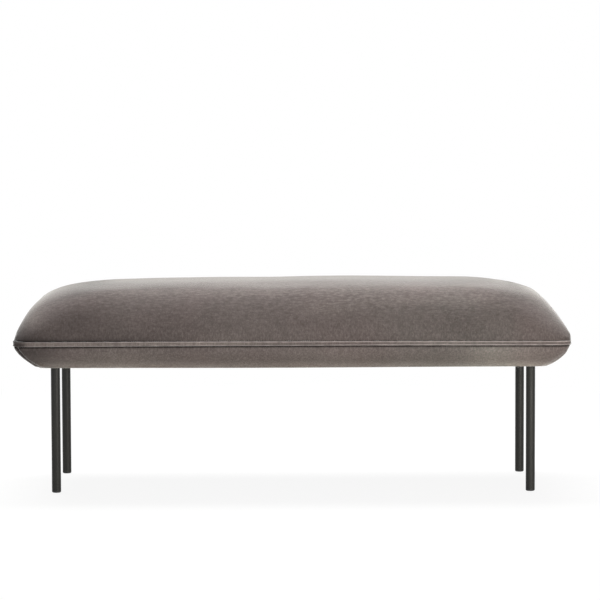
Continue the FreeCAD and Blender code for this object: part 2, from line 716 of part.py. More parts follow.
def build():
    """Every sub-part by its name. A group of like pieces is a list of solids."""
    leg_places = [place for corner in CORNERS for place in leg_screw_places(corner)]
    base_screws = [
        wood_screw(x, y, UNDERSIDE_Z, BASE_THICKNESS + WOOD_SCREW_BITE, 1)
        for x, y in base_screw_places()
    ]
    frame_screws = [
        wood_screw(x, y, LOWER_SEAM_Z, TOP_FRAME_THICKNESS + WOOD_SCREW_BITE, -1)
        for x, y in frame_screw_places()
    ]
    staple_inset = UNDERSIDE_INSET + TURN_IN - COVER_STAPLE_SETBACK
    cover_staples = edge_staples(staple_inset, COVER_STAPLE_PITCH, UNDERSIDE_Z)
    dust_staples = edge_staples(DUST_INSET + DUST_STAPLE_INSET, DUST_STAPLE_PITCH, DUST_Z - STAPLE_WIRE)
    web_staples = webbing_staples()

    parts = {}
    for corner in CORNERS:
        parts["leg_tube_" + corner] = leg_tube(corner)
        parts["leg_plate_" + corner] = leg_plate(corner)
        parts["foot_glide_" + corner] = foot_glide(corner)
    parts["leg_welds"] = [weld_bead(corner) for corner in CORNERS]
    parts["leg_screws"] = [leg_screw(x, y) for x, y in leg_places]
    parts["threaded_inserts"] = [threaded_insert(x, y) for x, y in leg_places]

    parts["base_board"] = base_board().cut(base_screws + cover_staples + dust_staples)
    screws = base_screws + frame_screws
    for name, side in (("front", -1), ("back", 1)):
        parts[name + "_rail"] = long_rail(side).cut(screws)
        parts["top_frame_" + name] = top_frame_board(True, side).cut(frame_screws + web_staples)
        parts["bevel_panel_" + name] = bevel_panel(True, side)
    for name, side in (("left", -1), ("right", 1)):
        parts[name + "_end_rail"] = end_rail(side).cut(screws)
        parts["top_frame_" + name] = top_frame_board(False, side).cut(frame_screws + web_staples)
        parts["bevel_panel_" + name] = bevel_panel(False, side)
    for name, x in zip(("left", "middle", "right"), spread(RIB_COUNT, RIB_SPACING)):
        parts["cross_rib_" + name] = cross_rib(x).cut(base_screws)
    parts["base_screws"] = base_screws
    parts["frame_screws"] = frame_screws

    parts["webbing_long"] = [strip.cut(web_staples) for strip in long_webbing()]
    parts["webbing_cross"] = [strip.cut(web_staples) for strip in cross_webbing()]
    parts["webbing_staples"] = web_staples

    parts["foam_core"] = foam_core()
    parts["foam_topper"] = soft_layer(COVER_THICKNESS + WRAP_THICKNESS, TOPPER_THICKNESS)
    parts["fibre_wrap"] = soft_layer(COVER_THICKNESS, WRAP_THICKNESS)
    parts["border_padding"] = border_padding()
    parts["cover_top"] = cover_top()
    parts["cover_seam_band"] = seam_band()
    border = cover_border().cut(cover_staples + dust_staples)
    for name in ("front", "back", "left", "right"):
        parts["cover_border_" + name] = border.common(mitre_wedge(name))
    parts["cover_staples"] = cover_staples
    parts["dust_cover"] = dust_cover().cut(dust_staples)
    parts["dust_cover_staples"] = dust_staples
    return parts


def export(parts):
    """Writes one STEP file for each sub-part, holding its separate solids."""
    os.makedirs("parts", exist_ok=True)
    for name, shape in parts.items():
        shapes = shape if isinstance(shape, list) else [shape]
        solids = [solid for piece in shapes for solid in piece.Solids]
        whole = solids[0] if len(solids) == 1 else Part.makeCompound(solids)
        whole.exportStep(os.path.join("parts", name + ".step"))


export(build())
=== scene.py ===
"""Looks of a long upholstered bench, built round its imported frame.

The frame gives every piece its place. This script makes the velvet cover, its fillings, the seams,
the dust cover, staples and welds, finishes the pieces that the frame already shapes well, and sets
up a plain studio. Lengths are metres, +Z is up, the front faces -Y and the floor is at zero.
"""

import math

import bmesh
import bpy
import numpy as np
from bpy.props import FloatProperty, FloatVectorProperty, IntProperty, PointerProperty
from mathutils import Matrix, Vector, geometry, kdtree, noise


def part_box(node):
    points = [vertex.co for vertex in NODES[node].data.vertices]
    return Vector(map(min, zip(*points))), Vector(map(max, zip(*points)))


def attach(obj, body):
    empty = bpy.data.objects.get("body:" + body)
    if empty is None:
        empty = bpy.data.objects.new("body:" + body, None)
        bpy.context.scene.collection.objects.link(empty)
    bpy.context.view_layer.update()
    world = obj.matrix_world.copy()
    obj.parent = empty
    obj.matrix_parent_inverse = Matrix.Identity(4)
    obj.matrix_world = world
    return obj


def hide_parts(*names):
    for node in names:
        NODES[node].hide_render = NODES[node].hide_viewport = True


bl_info = {
    "name": "Upholstered bench",
    "version": (1, 0, 0),
    "blender": (4, 5, 0),
    "location": "3D View > Sidebar > Bench",
    "description": "Velvet cover, fillings, fixings and studio of a long upholstered bench",
    "category": "Object",
}

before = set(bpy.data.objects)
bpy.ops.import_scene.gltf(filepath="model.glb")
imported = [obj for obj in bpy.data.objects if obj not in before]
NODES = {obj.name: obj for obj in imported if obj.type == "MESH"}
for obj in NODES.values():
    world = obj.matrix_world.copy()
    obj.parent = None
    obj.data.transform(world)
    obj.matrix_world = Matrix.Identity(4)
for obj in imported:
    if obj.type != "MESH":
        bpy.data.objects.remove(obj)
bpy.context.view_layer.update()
BODY = "root"
CORNERS = ("front_left", "front_right", "back_left", "back_right")
SIDES = ("front", "back", "left", "right")

# Levels and half sizes of the seat, from the frame
BAND_LOW, BAND_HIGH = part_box("cover_seam_band")
HALF_LENGTH = BAND_HIGH.x
HALF_DEPTH = BAND_HIGH.y
LOWER_SEAM = BAND_LOW.z
UPPER_SEAM = BAND_HIGH.z
CROWN_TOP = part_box("cover_top")[1].z
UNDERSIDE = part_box("cover_border_front")[0].z
DUST_LOW, DUST_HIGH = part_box("dust_cover")
CARCASS_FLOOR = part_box("bevel_panel_front")[0].z
WEBBING_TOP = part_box("webbing_long")[1].z

# Rim of the cushion
SEAM_TUCK = 0.001
RIM_CORNER = 0.030
SMALLEST_CORNER = 0.008
SEAM_FALL = 0.002
SEAM_BOW = 0.0009
LOWER_RISE = 0.0004
LOWER_BOW = 0.0008
UNDERSIDE_SAG = 0.0012
LEFT_REACH = 0.0036
ALLOWANCE = 0.007

# Crown: a steep shoulder, a slow rise, and an easing to level at the middle
# Each side's shoulder has its reach, the power that it fades with, and the share of the slow rise
SHOULDERS = {
    "front": (0.046, 1.0, 0.06),
    "left": (0.052, 0.92, 0.031),
    "right": (0.0536, 0.98, 0.0175),
}
CROWN_REACH = 0.150
CAP_ROUNDNESS = 0.936
ROUNDING_REACH = 0.060
LEVEL_FROM = 0.150

# Border under the band
BORDER_RUN = 0.053
BORDER_CURVE = 1.7
UNDERSIDE_CORNER = 0.016
TURN_IN = 0.025
CARCASS_CORNER = 0.022
BEVEL_INSET = 0.008
BEVEL_RUN = 0.050

# Layers, measured square to the face
COVER_THICKNESS = 0.0015
WRAP_THICKNESS = 0.008
TOPPER_THICKNESS = 0.020
LAYER_EASE = 0.0004
SEAM_RELIEF = 0.0024
RELIEF_FADE = 0.006

# Columns on each long side, short side and corner, and rings up the crown
COVER_GRID = (132, 48, 12)
COVER_RINGS = 28
BAND_GRID = (400, 150, 24)
FILLING_GRID = (66, 24, 8)
FILLING_RINGS = 22
SWELL_GRID = (66, 26, 6)
SWELL_RINGS = 20


# Measures and meshes

def linear(red, green, blue):
    """A colour given as it looks on screen, 0 to 255, in the values that a shader takes."""
    return tuple((value / 255) ** 2.2 for value in (red, green, blue))


def bell(value, middle, width):
    """A smooth bump of height 1."""
    return np.exp(-(((value - middle) / width) ** 2))


def smooth_step(value, start, end):
    """0 before start, 1 after end, and an even ease between them."""
    share = np.clip((value - start) / (end - start), 0, 1)
    return share * share * (3 - 2 * share)


def window(value, rise_from, rise_to, fall_from, fall_to):
    """1 inside, 0 outside, and an even ease at both edges."""
    return smooth_step(value, rise_from, rise_to) * (1 - smooth_step(value, fall_from, fall_to))


def side_directions(quarter):
    """The angle that one side of the seat faces at, the same in plan, and the way along the side."""
    facing = math.radians(90 * quarter - 90)
    across = np.array((math.cos(facing), math.sin(facing)))
    return facing, across, np.array((-across[1], across[0]))


def rim_columns(long_cells, short_cells, corner_cells):
    """Columns round the seat, anticlockwise from the front's left end.

    Each is the place of its arc's centre as a share of the half sizes, and the way that it faces."""
    columns = []
    for quarter in range(4):
        facing, across, along = side_directions(quarter)
        cells = long_cells if quarter % 2 == 0 else short_cells
        for cell in range(cells):
            share = 2 * cell / cells - 1
            columns.append((*(across + along * share), facing))
        for cell in range(corner_cells):
            turned = facing + math.radians(90) * cell / corner_cells
            columns.append((*(across + along), turned))
    return np.array(columns)


def plan(columns, inset, radius, reach=LEFT_REACH):
    """Plan points of the columns on the rounded rectangle at an inset from the rim.

    The cushion reaches a little further out at its left end than the frame's solids."""
    share_x, share_y, facing = columns.T
    radius = np.minimum(radius, HALF_DEPTH - inset)
    x = share_x * (HALF_LENGTH - inset - radius) + radius * np.cos(facing)
    y = share_y * (HALF_DEPTH - inset - radius) + radius * np.sin(facing)
    return x - reach * smooth_step(-share_x, 0.7, 1.0), y


def pulled_in(points, columns, distance):
    """The points, moved in plan against the way that their columns face."""
    moved = points.copy()
    moved[:, 0] -= distance * np.cos(columns[:, 2])
    moved[:, 1] -= distance * np.sin(columns[:, 2])
    return moved


def lattice_faces(rings, columns, closed_profile=False):
    """Quads between rings of points that close on themselves, facing outwards."""
    faces = []
    for ring in range(rings if closed_profile else rings - 1):
        low = ring * columns
        high = (ring + 1) % rings * columns
        for column in range(columns):
            following = (column + 1) % columns
            faces.append((low + column, low + following, high + following, high + column))
    return faces


def strip_faces(rows, columns):
    """Quads of an open grid of points, facing outwards."""
    faces = []
    for row in range(rows - 1):
        for column in range(columns - 1):
            start = row * columns + column
            faces.append((start, start + 1, start + 1 + columns, start + columns))
    return faces


def add_object(name, data):
    """A new object in the scene."""
    thing = bpy.data.objects.new(name, data)
    bpy.context.scene.collection.objects.link(thing)
    return thing


def add_points(name, points, edges=()):
    """A new object of points, with edges between them or none."""
    mesh = bpy.data.meshes.new(name)
    mesh.from_pydata(np.asarray(points, float).tolist(), list(edges), [])
    return add_object(name, mesh)


def add_piece(name, points, faces, material, smooth=True):
    """A new mesh object at the origin, with doubled points merged."""
    mesh = bpy.data.meshes.new(name)
    mesh.from_pydata(np.asarray(points, float).reshape(-1, 3).tolist(), [], faces)
    shape = bmesh.new()
    shape.from_mesh(mesh)
    bmesh.ops.remove_doubles(shape, verts=shape.verts, dist=1e-5)
    shape.to_mesh(mesh)
    shape.free()
    for face in mesh.polygons:
        face.use_smooth = smooth
    mesh.materials.append(material)
    return add_object(name, mesh)


def ring_piece(name, rings, material, closed_profile=False):
    """A new piece, skinned over rings of points."""
    faces = lattice_faces(len(rings), len(rings[0]), closed_profile)
    return add_piece(name, np.concatenate(rings), faces, material)


def settle(piece):
    """Turns what the piece's modifiers make into its plain mesh."""
    depsgraph = bpy.context.evaluated_depsgraph_get()
    mesh = bpy.data.meshes.new_from_object(
        piece.evaluated_get(depsgraph), preserve_all_data_layers=True, depsgraph=depsgraph
    )
    piece.modifiers.clear()
    piece.data = mesh
    mesh.name = piece.name


def subdivide(piece):
    """One finished subdivision of the piece."""
    modifier = piece.modifiers.new("rounding", "SUBSURF")
    modifier.levels = 1
    modifier.render_levels = 1
    settle(piece)


def thicken(piece, thickness):
    """Gives a sheet its thickness, on its inner side, with crisp cut edges."""
    modifier = piece.modifiers.new("thickness", "SOLIDIFY")
    modifier.thickness = thickness
    modifier.offset = -1
    settle(piece)
    piece.data.set_sharp_from_angle(angle=math.radians(60))


def mesh_points(piece):
    """The piece's points and their normals."""
    count = len(piece.data.vertices)
    points = np.zeros(count * 3)
    normals = np.zeros(count * 3)
    piece.data.vertices.foreach_get("co", points)
    piece.data.vertex_normals.foreach_get("vector", normals)
    return points.reshape(-1, 3), normals.reshape(-1, 3)


def move_points(piece, points):
    """Puts the piece's points in new places."""
    piece.data.vertices.foreach_set("co", np.asarray(points).ravel())
    piece.data.update()


def point_tree(points):
    """A search tree that knows each point by its place in the list."""
    tree = kdtree.KDTree(len(points))
    for index, point in enumerate(points):
        tree.insert(point, index)
    tree.balance()
    return tree


def waves(points, pitch, stretch=(1, 1, 1), seed=0.0):
    """Even noise between about -1 and 1 at each point, with bumps a pitch apart."""
    scaled = points / (pitch * np.array(stretch))
    return np.array([noise.noise(Vector((x, y, z + seed))) for x, y, z in scaled])


def keep_value(piece, name, values):
    """Stores one number for each point of the piece."""
    attribute = piece.data.attributes.new(name, "FLOAT", "POINT")
    attribute.data.foreach_set("value", np.asarray(values, np.float32))


def kept_value(piece, name):
    """The stored number of each point."""
    attribute = piece.data.attributes[name]
    values = np.zeros(len(attribute.data), np.float32)
    attribute.data.foreach_get("value", values)
    return values.astype(float)


def hand_in(piece, slot, *nodes):
    """Fixes a finished piece to the frame, in the place of the nodes that it stands for."""
    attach(piece, BODY)
    if nodes:
        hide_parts(*nodes)


def finish_nodes(material, *names):
    """Gives frame pieces their material."""
    for name in names:
        slots = NODES[name].data.materials
        slots.clear()
        slots.append(material)


def islands(node):
    """Low and high corner of each separate solid of a frame piece."""
    mesh = NODES[node].data
    keys = [tuple(round(value, 5) for value in vertex.co) for vertex in mesh.vertices]
    home = {key: key for key in keys}

    def root(key):
        while home[key] != key:
            home[key] = home[home[key]]
            key = home[key]
        return key

    for face in mesh.polygons:
        first = root(keys[face.vertices[0]])
        for vertex in face.vertices[1:]:
            home[root(keys[vertex])] = first
    groups = {}
    for key in set(keys):
        groups.setdefault(root(key), []).append(key)
    boxes = [(np.min(group, axis=0), np.max(group, axis=0)) for group in groups.values()]
    return sorted(boxes, key=lambda box: tuple(box[0]))


# Node trees

SOCKETS = {
    "roughness": "Roughness",
    "metallic": "Metallic",
    "specular": "Specular IOR Level",
    "sheen": "Sheen Weight",
    "sheen_roughness": "Sheen Roughness",
}


class NodeMaker:
    """A node tree in the making."""

    def __init__(self, tree):
        self.tree = tree

    def put(self, socket, value):
        """Links a socket's value, or sets it."""
        if isinstance(value, bpy.types.NodeSocket):
            self.tree.links.new(value, socket)
        elif hasattr(value, "__len__") and not isinstance(value, str) and socket.type == "RGBA":
            socket.default_value = (*tuple(value)[:3], 1.0)
        else:
            socket.default_value = value

    def add(self, kind, inputs=None, **settings):
        """A new node with its settings and inputs."""
        node = self.tree.nodes.new(kind)
        for name, value in settings.items():
            setattr(node, name, value)
        for name, value in (inputs or {}).items():
            self.put(node.inputs[name], value)
        return node

    def out(self, kind, inputs=None, **settings):
        """The first output of a new node."""
        return self.add(kind, inputs, **settings).outputs[0]

    def math(self, operation, first, second=0.0):
        """Two numbers joined by an operation."""
        return self.out("ShaderNodeMath", {0: first, 1: second}, operation=operation)

    def between(self, value, low, high, to_low=0.0, to_high=1.0):
        """A number taken from one range to another, and kept inside it."""
        inputs = {"Value": value, "From Min": low, "From Max": high, "To Min": to_low, "To Max": to_high}
        return self.add("ShaderNodeMapRange", inputs, clamp=True).outputs["Result"]


class Paint(NodeMaker):
    """A material in the making."""

    def __init__(self, name, **settings):
        self.material = bpy.data.materials.new(name)
        self.material.use_nodes = True
        super().__init__(self.material.node_tree)
        self.shader = self.tree.nodes["Principled BSDF"]
        for socket, value in settings.items():
            self.shader.inputs[SOCKETS[socket]].default_value = value
        self.place = self.add("ShaderNodeTexCoord").outputs["Object"]

    def axis(self, name, vector=None):
        """One part of a vector, or of Object coordinates."""
        return self.add("ShaderNodeSeparateXYZ", {0: vector or self.place}).outputs[name]

    def attribute(self, name):
        """The number that the piece stores for each point."""
        return self.add("ShaderNodeAttribute", attribute_name=name).outputs["Fac"]

    def grain(self, pitch, detail=2.0, roughness=0.5, stretch=(1, 1, 1)):
        """Noise with features about a pitch apart."""
        scale = tuple(1 / value for value in stretch)
        place = self.add("ShaderNodeMapping", {"Vector": self.place, "Scale": scale}).outputs["Vector"]
        inputs = {"Vector": place, "Scale": 1 / pitch, "Detail": detail, "Roughness": roughness}
        return self.add("ShaderNodeTexNoise", inputs).outputs["Fac"]

    def cells(self, size, randomness=1.0):
        """Distance from the middles of cells of about a size."""
        inputs = {"Vector": self.place, "Scale": 1 / size, "Randomness": randomness}
        return self.add("ShaderNodeTexVoronoi", inputs).outputs["Distance"]

    def blend(self, share, first, second, kind="MIX"):
        """A mix of two colours."""
        node = self.add("ShaderNodeMix", data_type="RGBA", blend_type=kind)
        for index, value in ((0, share), (6, first), (7, second)):
            self.put(node.inputs[index], value)
        return node.outputs[2]

    def tint(self, value, low, high, first, second, share=1.0):
        """A colour that gives way to another, up to a share, while a value goes from low to high."""
        return self.blend(self.between(value, low, high, 0.0, share), first, second)

    def bump(self, height, distance, strength=1.0, normal=None):
        """A bump whose full height is a distance in metres."""
        inputs = {"Height": height, "Distance": distance, "Strength": strength}
        if normal is not None:
            inputs["Normal"] = normal
        return self.add("ShaderNodeBump", inputs).outputs["Normal"]

    def done(self, colour, normal=None, roughness=None):
        """Links what is given to the shader and returns the material."""
        given = {"Base Color": colour, "Roughness": roughness, "Normal": normal}
        for socket, value in given.items():
            if value is not None:
                self.put(self.shader.inputs[socket], value)
        return self.material


class Maker(NodeMaker):
    """A Geometry Nodes tree in the making, with one named input for each size."""

    def __init__(self, name, **sizes):
        super().__init__(bpy.data.node_groups.new(name, "GeometryNodeTree"))
        sockets = self.tree.interface
        sockets.new_socket("Geometry", in_out="INPUT", socket_type="NodeSocketGeometry")
        sockets.new_socket("Geometry", in_out="OUTPUT", socket_type="NodeSocketGeometry")
        sockets.new_socket("Material", in_out="INPUT", socket_type="NodeSocketMaterial")
        self.sizes = sizes
        for size in sizes:
            sockets.new_socket(size, in_out="INPUT", socket_type="NodeSocketFloat")
        self.start = self.add("NodeGroupInput")
        self.end = self.add("NodeGroupOutput")

    def size(self, name):
        """The output of a named input."""
        return self.start.outputs[name]

    def close(self, points, copy, turn=None, scale=None):
        """Ends the tree: a copy on each point, as real geometry with the material on it."""
        given = {"Points": points, "Instance": copy, "Rotation": turn, "Scale": scale}
        inputs = {name: value for name, value in given.items() if value is not None}
        placed = self.out("GeometryNodeInstanceOnPoints", inputs)
        real = self.out("GeometryNodeRealizeInstances", {"Geometry": placed})
        smooth = self.out("GeometryNodeSetShadeSmooth", {"Geometry": real})
        inputs = {"Geometry": smooth, "Material": self.size("Material")}
        self.put(self.end.inputs[0], self.out("GeometryNodeSetMaterial", inputs))

    def make(self, piece, material):
        """Runs the tree on a piece and keeps the result as its plain mesh."""
        modifier = piece.modifiers.new("maker", "NODES")
        modifier.node_group = self.tree
        values = {"Material": material, **self.sizes}
        for item in self.tree.interface.items_tree:
            if item.in_out == "INPUT" and item.name in values:
                modifier[item.identifier] = values[item.name]
        piece.update_tag()
        settle(piece)


# Shape of the cushion's face

def seam_level(x):
    """Level of the upper seam, which falls a little towards the right end and bows up between."""
    bow = smooth_step(x, -0.50, -0.15) - 0.55 * smooth_step(x, 0.20, 0.50)
    return UPPER_SEAM - SEAM_FALL * (x + HALF_LENGTH) / (2 * HALF_LENGTH) + SEAM_BOW * bow


def levelled(inset):
    """The inset, slowed so that the crown comes to the middle level."""
    beyond = np.maximum(inset - LEVEL_FROM, 0)
    return inset - beyond ** 2 / (2 * (HALF_DEPTH - LEVEL_FROM))


def crown_corner(inset):
    """Corner radius in plan: tight at the rim, nearly a half round at the middle."""
    rim_share = RIM_CORNER / HALF_DEPTH
    rounding = 1 - np.exp(-(inset - SEAM_TUCK) / ROUNDING_REACH)
    return (HALF_DEPTH - inset) * (rim_share + (CAP_ROUNDNESS - rim_share) * rounding)


def end_shares(columns):
    """How far each column faces the left end and the right end."""
    across = np.cos(columns[:, 2])
    return np.clip(-across, 0, 1) ** 2, np.clip(across, 0, 1) ** 2


def lower_level(x):
    """Level of the lower seam, which bows up a little left of the middle."""
    return LOWER_SEAM + LOWER_RISE * (1 - smooth_step(x, 0.30, 0.50)) + LOWER_BOW * bell(x, -0.10, 0.32)


def crown_rise(inset, side):
    """Share of its whole rise that one side's crown has made at an inset."""
    reach, power, slow_share = SHOULDERS[side]

    def left_over(inset):
        """Share of the rise that is still to come."""
        depth = np.maximum(levelled(inset) - SEAM_TUCK, 0)
        steep = np.exp(-((depth / reach) ** power))
        return (1 - slow_share) * steep + slow_share * np.exp(-depth / CROWN_REACH)

    return (1 - left_over(inset)) / (1 - left_over(HALF_DEPTH))


def left_fullness(inset):
    """Extra height of the left end's face, which is a little rounder than the right's."""
    lip = 0.0029 * (inset / 0.010) * np.exp(1 - inset / 0.010)
    face = 0.0094 * window(inset, 0.004, 0.048, 0.005, 0.077)
    crest = 0.0034 * window(inset, 0.015, 0.225, 0.135, 0.237)
    return lip + face - crest


def right_fullness(inset):
    """Extra height of the right end's face, which bulges over the seam."""
    bulge = 0.0088 * bell(inset, 0, 0.0168) * (1 - np.exp(-(inset - SEAM_TUCK) / 0.0010))
    face = 0.0043 * window(inset, 0.004, 0.026, 0.045, 0.095)
    hollows = 0.0011 * bell(inset, 0.0215, 0.0050) + 0.0006 * bell(inset, 0.082, 0.012)
    return bulge + face - hollows - 0.0015 * bell(inset, 0.124, 0.020)


def crown_slack(x):
    """How far the crown's top stays under its full level, least a little right of the middle."""
    slack = 0.0022 + 0.0051 * smooth_step(-x, 0.02, 0.40) + 0.0024 * smooth_step(x, 0.10, 0.40)
    return slack + 0.0018 * bell(x, -0.05, 0.07)


def crown_level(columns, x, inset):
    """Level of the cover's face on each column at an inset."""
    seam = seam_level(x)
    left, right = end_shares(columns)
    rise = (1 - left - right) * crown_rise(inset, "front")
    rise = rise + left * crown_rise(inset, "left") + right * crown_rise(inset, "right")
    level = seam + (CROWN_TOP - seam) * rise + left * left_fullness(inset) + right * right_fullness(inset)
    return level - crown_slack(x) * smooth_step(inset, 0.05, 0.155)


def crown_points(columns, inset, under=0.0):
    """Points on the crown's face at an inset from the rim, or that far under the face."""
    corner = crown_corner(inset)
    x, y = plan(columns, inset, corner)
    step = 0.0002
    level = crown_level(columns, x, inset)
    rise = crown_level(columns, x, inset + step) - level
    lean = np.arctan2(rise, step)
    inwards = under * np.sin(lean)
    depth = np.minimum(inset + inwards, HALF_DEPTH)
    x, y = plan(columns, depth, np.maximum(SMALLEST_CORNER, corner - inwards))
    return np.stack((x, y, level - under * np.cos(lean)), axis=1)


def crown_insets(count, crowding=2.0):
    """Insets from the rim to the middle, closer together near the rim."""
    shares = (np.arange(count + 1) / count) ** crowding
    return SEAM_TUCK + (HALF_DEPTH - SEAM_TUCK) * shares


def border_lean(share):
    """Slope of the border's face, as an angle from level."""
    run = BORDER_RUN * BORDER_CURVE * share ** (BORDER_CURVE - 1)
    return math.atan2(LOWER_SEAM - UNDERSIDE, run)


def border_points(columns, share, under=0.0):
    """Points on the border's face, from the lower seam at 0 to the underside at 1."""
    lean = border_lean(share)
    inset = SEAM_TUCK + BORDER_RUN * share ** BORDER_CURVE + under * math.sin(lean)
    radius = RIM_CORNER + (UNDERSIDE_CORNER - RIM_CORNER) * share - under * math.sin(lean)
    reach = LEFT_REACH * (max(0.0, 1 - share / 0.25) + 1.2 * smooth_step(share, 0.7, 1.0))
    x, y = plan(columns, inset, radius, reach)
    rounder = 0.0052 * smooth_step(share, 0.35, 0.9) - 0.0030 * bell(share, 0.15, 0.2)
    x = x + end_shares(columns)[1] * rounder * (1 - math.exp(-share / 0.03))
    seam = lower_level(x)
    fold = UNDERSIDE - UNDERSIDE_SAG * bell(x, -0.05, 0.30)
    z = seam - (seam - fold) * share + under * math.cos(lean)
    return np.stack((x, y, z), axis=1)


def ring_at(columns, inset, radius, level):
    """A level ring of points at an inset."""
    x, y = plan(columns, inset, radius)
    return np.stack((x, y, np.broadcast_to(level, x.shape)), axis=1)


# Materials

PLY_THICKNESS = 0.0028
RIB_PITCH = 0.0024


def velvet_finish(settings):
    """Short-pile velvet: rows of pile, soft patches where it lies over and a pale sheen, with painted
    sheen, painted highlights and painted shade in its colour.
    """
    paint = Paint(
        "brushed_velvet",
        roughness=0.95,
        sheen=0.66,
        sheen_roughness=0.30,
        specular=0.10,
    )
    paint.shader.inputs["Sheen Tint"].default_value = (*settings.sheen_colour, 1.0)
    along = paint.axis("X")
    height = paint.axis("Z")
    upper = paint.between(height, LOWER_SEAM + 0.02, CROWN_TOP - 0.03)
    patches = paint.grain(0.130, 3.0, 0.5, (1.4, 1.4, 1.0))
    hue = paint.grain(0.200, 2.0, 0.5)
    dashes = paint.grain(0.0040, 2.0, 0.6, (3.2, 1.6, 0.8))
    stripes = paint.grain(0.0038, 2.0, 0.6, (0.8, 0.8, 4.5))
    mottle = paint.grain(0.0075, 3.0, 0.65)
    pile = paint.grain(0.0014, 3.0, 0.7)
    rows = paint.blend(upper, stripes, dashes)
    cool = paint.between(along, 0.15, 0.24)
    cool = paint.math("MULTIPLY", cool, paint.between(along, 0.46, 0.50, 1.0, 0.0))
    cool = paint.math("MULTIPLY", cool, paint.between(height, 0.400, 0.435, 0.75, 0.0))
    cool = paint.math("ADD", cool, paint.between(hue, 0.44, 0.56, 0.0, 0.35))
    tone = paint.blend(cool, settings.pile_colour, settings.cool_colour)
    tone = paint.tint(patches, 0.40, 0.62, tone, settings.shade_colour, 0.30)
    tone = paint.tint(rows, 0.40, 0.64, tone, settings.light_colour, 0.52)
    tone = paint.blend(paint.between(mottle, 0.36, 0.58, 0.28, 0.0), tone, settings.shade_colour)
    tone = paint.blend(paint.between(pile, 0.35, 0.60, 0.45, 0.0), tone, settings.shade_colour)
    # Painted sheen: the colour turns pale where the cloth is seen edge-on, and more so the higher it lies,
    # where the overhead lamp lights it
    grazing = paint.add("ShaderNodeLayerWeight", {"Blend": 0.5}).outputs["Facing"]
    high = paint.between(height, LOWER_SEAM + 0.03, CROWN_TOP - 0.02, 0.08, 1.10)
    painted_sheen = paint.math("MULTIPLY", paint.between(grazing, 0.66, 1.0, 0.0, 0.36), high)
    tone = paint.blend(painted_sheen, tone, settings.painted_sheen_colour)
    # Painted highlight: the colour is made brighter where light falls on the pile
    brushed = paint.between(paint.attribute("brushed"), 0.0, 1.0)
    tone = paint.blend(brushed, tone, settings.highlight_gain, "MULTIPLY")
    low = paint.between(height, UNDERSIDE, LOWER_SEAM - 0.008, 1.0, 0.0)
    tone = paint.blend(low, tone, settings.low_tint, "MULTIPLY")
    # Painted shade: the velvet is painted darker where less light falls on it
    flat = paint.between(paint.attribute("flattened"), 0.0, 1.0)
    tone = paint.blend(flat, tone, (settings.painted_shade_brightness,) * 3, "MULTIPLY")
    # Painted highlight on the ridges along the seams, where light catches them
    tone = paint.tint(paint.attribute("worn"), 0.0, 1.0, tone, settings.ridge_highlight_colour, 0.9)
    # Painted shade deep in the seams and folds
    tone = paint.tint(paint.attribute("pressed"), 0.0, 1.0, tone, settings.crease_shade_colour)
    normal = paint.bump(pile, 0.0008, 0.5)
    normal = paint.bump(rows, 0.0010, 0.4, normal)
    return paint.done(tone, normal)


def thread_finish():
    """Twisted sewing thread."""
    paint = Paint("sewing_thread", roughness=0.6, sheen=0.3)
    twist = paint.grain(0.0006, 1.0)
    colour = paint.tint(twist, 0.3, 0.7, linear(26, 22, 21), linear(52, 45, 43))
    return paint.done(colour, paint.bump(twist, 0.0002))


def powder_coat_finish(settings):
    """Satin black powder coat with a fine orange peel."""
    paint = Paint("black_powder_coat", roughness=0.40, specular=0.22)
    peel = paint.grain(0.0011, 2.0)
    cloud = paint.grain(0.03, 2.0)
    speck = paint.grain(0.0005, 1.0)
    colour = paint.tint(cloud, 0.3, 0.7, settings.leg_colour, linear(36, 36, 33))
    colour = paint.tint(speck, 0.6, 0.8, colour, linear(58, 58, 54), 0.5)
    normal = paint.bump(peel, 0.00018, 0.6)
    return paint.done(colour, normal, paint.between(cloud, 0.3, 0.7, 0.36, 0.5))


def nylon_finish():
    """Black moulded nylon with a scuffed sole."""
    paint = Paint("moulded_nylon", specular=0.4)
    grain = paint.grain(0.0008, 2.0)
    sole = paint.between(paint.axis("Z"), 0.0, 0.0025, 1.0, 0.0)
    scuff = paint.math("MULTIPLY", sole, paint.grain(0.003, 3.0))
    colour = paint.tint(scuff, 0.2, 0.7, linear(30, 30, 30), linear(96, 94, 90), 0.6)
    normal = paint.bump(grain, 0.0001, 0.5)
    return paint.done(colour, normal, paint.between(grain, 0.3, 0.7, 0.5, 0.68))


def zinc_finish():
    """Bright zinc plate with faint drawing lines and dull spots."""
    paint = Paint("bright_zinc", metallic=1.0)
    dull = paint.grain(0.002, 3.0)
    lines = paint.grain(0.0004, 1.0, 0.5, (6, 6, 1))
    colour = paint.tint(dull, 0.35, 0.7, linear(196, 198, 202), linear(158, 160, 166))
    normal = paint.bump(lines, 0.00004, 0.5)
    return paint.done(colour, normal, paint.between(dull, 0.3, 0.7, 0.25, 0.45))


def plywood_finish():
    """Birch plywood: long grain on the faces, plies on the edges."""
    paint = Paint("birch_plywood", roughness=0.6, specular=0.3)
    figure = paint.grain(0.010, 4.0, 0.6, (14, 1.2, 1))
    fibre = paint.grain(0.0018, 2.0, 0.6, (20, 1, 1))
    veneer = paint.tint(figure, 0.35, 0.68, linear(214, 184, 142), linear(190, 153, 108))
    veneer = paint.tint(fibre, 0.5, 0.8, veneer, linear(160, 124, 84), 0.4)
    layer = paint.math("ADD", paint.math("MULTIPLY", paint.axis("Z"), 1 / PLY_THICKNESS), 0.5)
    layer = paint.math("FRACT", layer)
    plies = paint.tint(layer, 0.45, 0.55, linear(198, 165, 120), linear(134, 98, 62))
    plies = paint.tint(fibre, 0.45, 0.75, plies, linear(150, 114, 76), 0.4)
    upright = paint.axis("Z", paint.add("ShaderNodeNewGeometry").outputs["Normal"])
    colour = paint.tint(paint.math("ABSOLUTE", upright), 0.85, 0.95, plies, veneer)
    return paint.done(colour, paint.bump(fibre, 0.0002, 0.6))


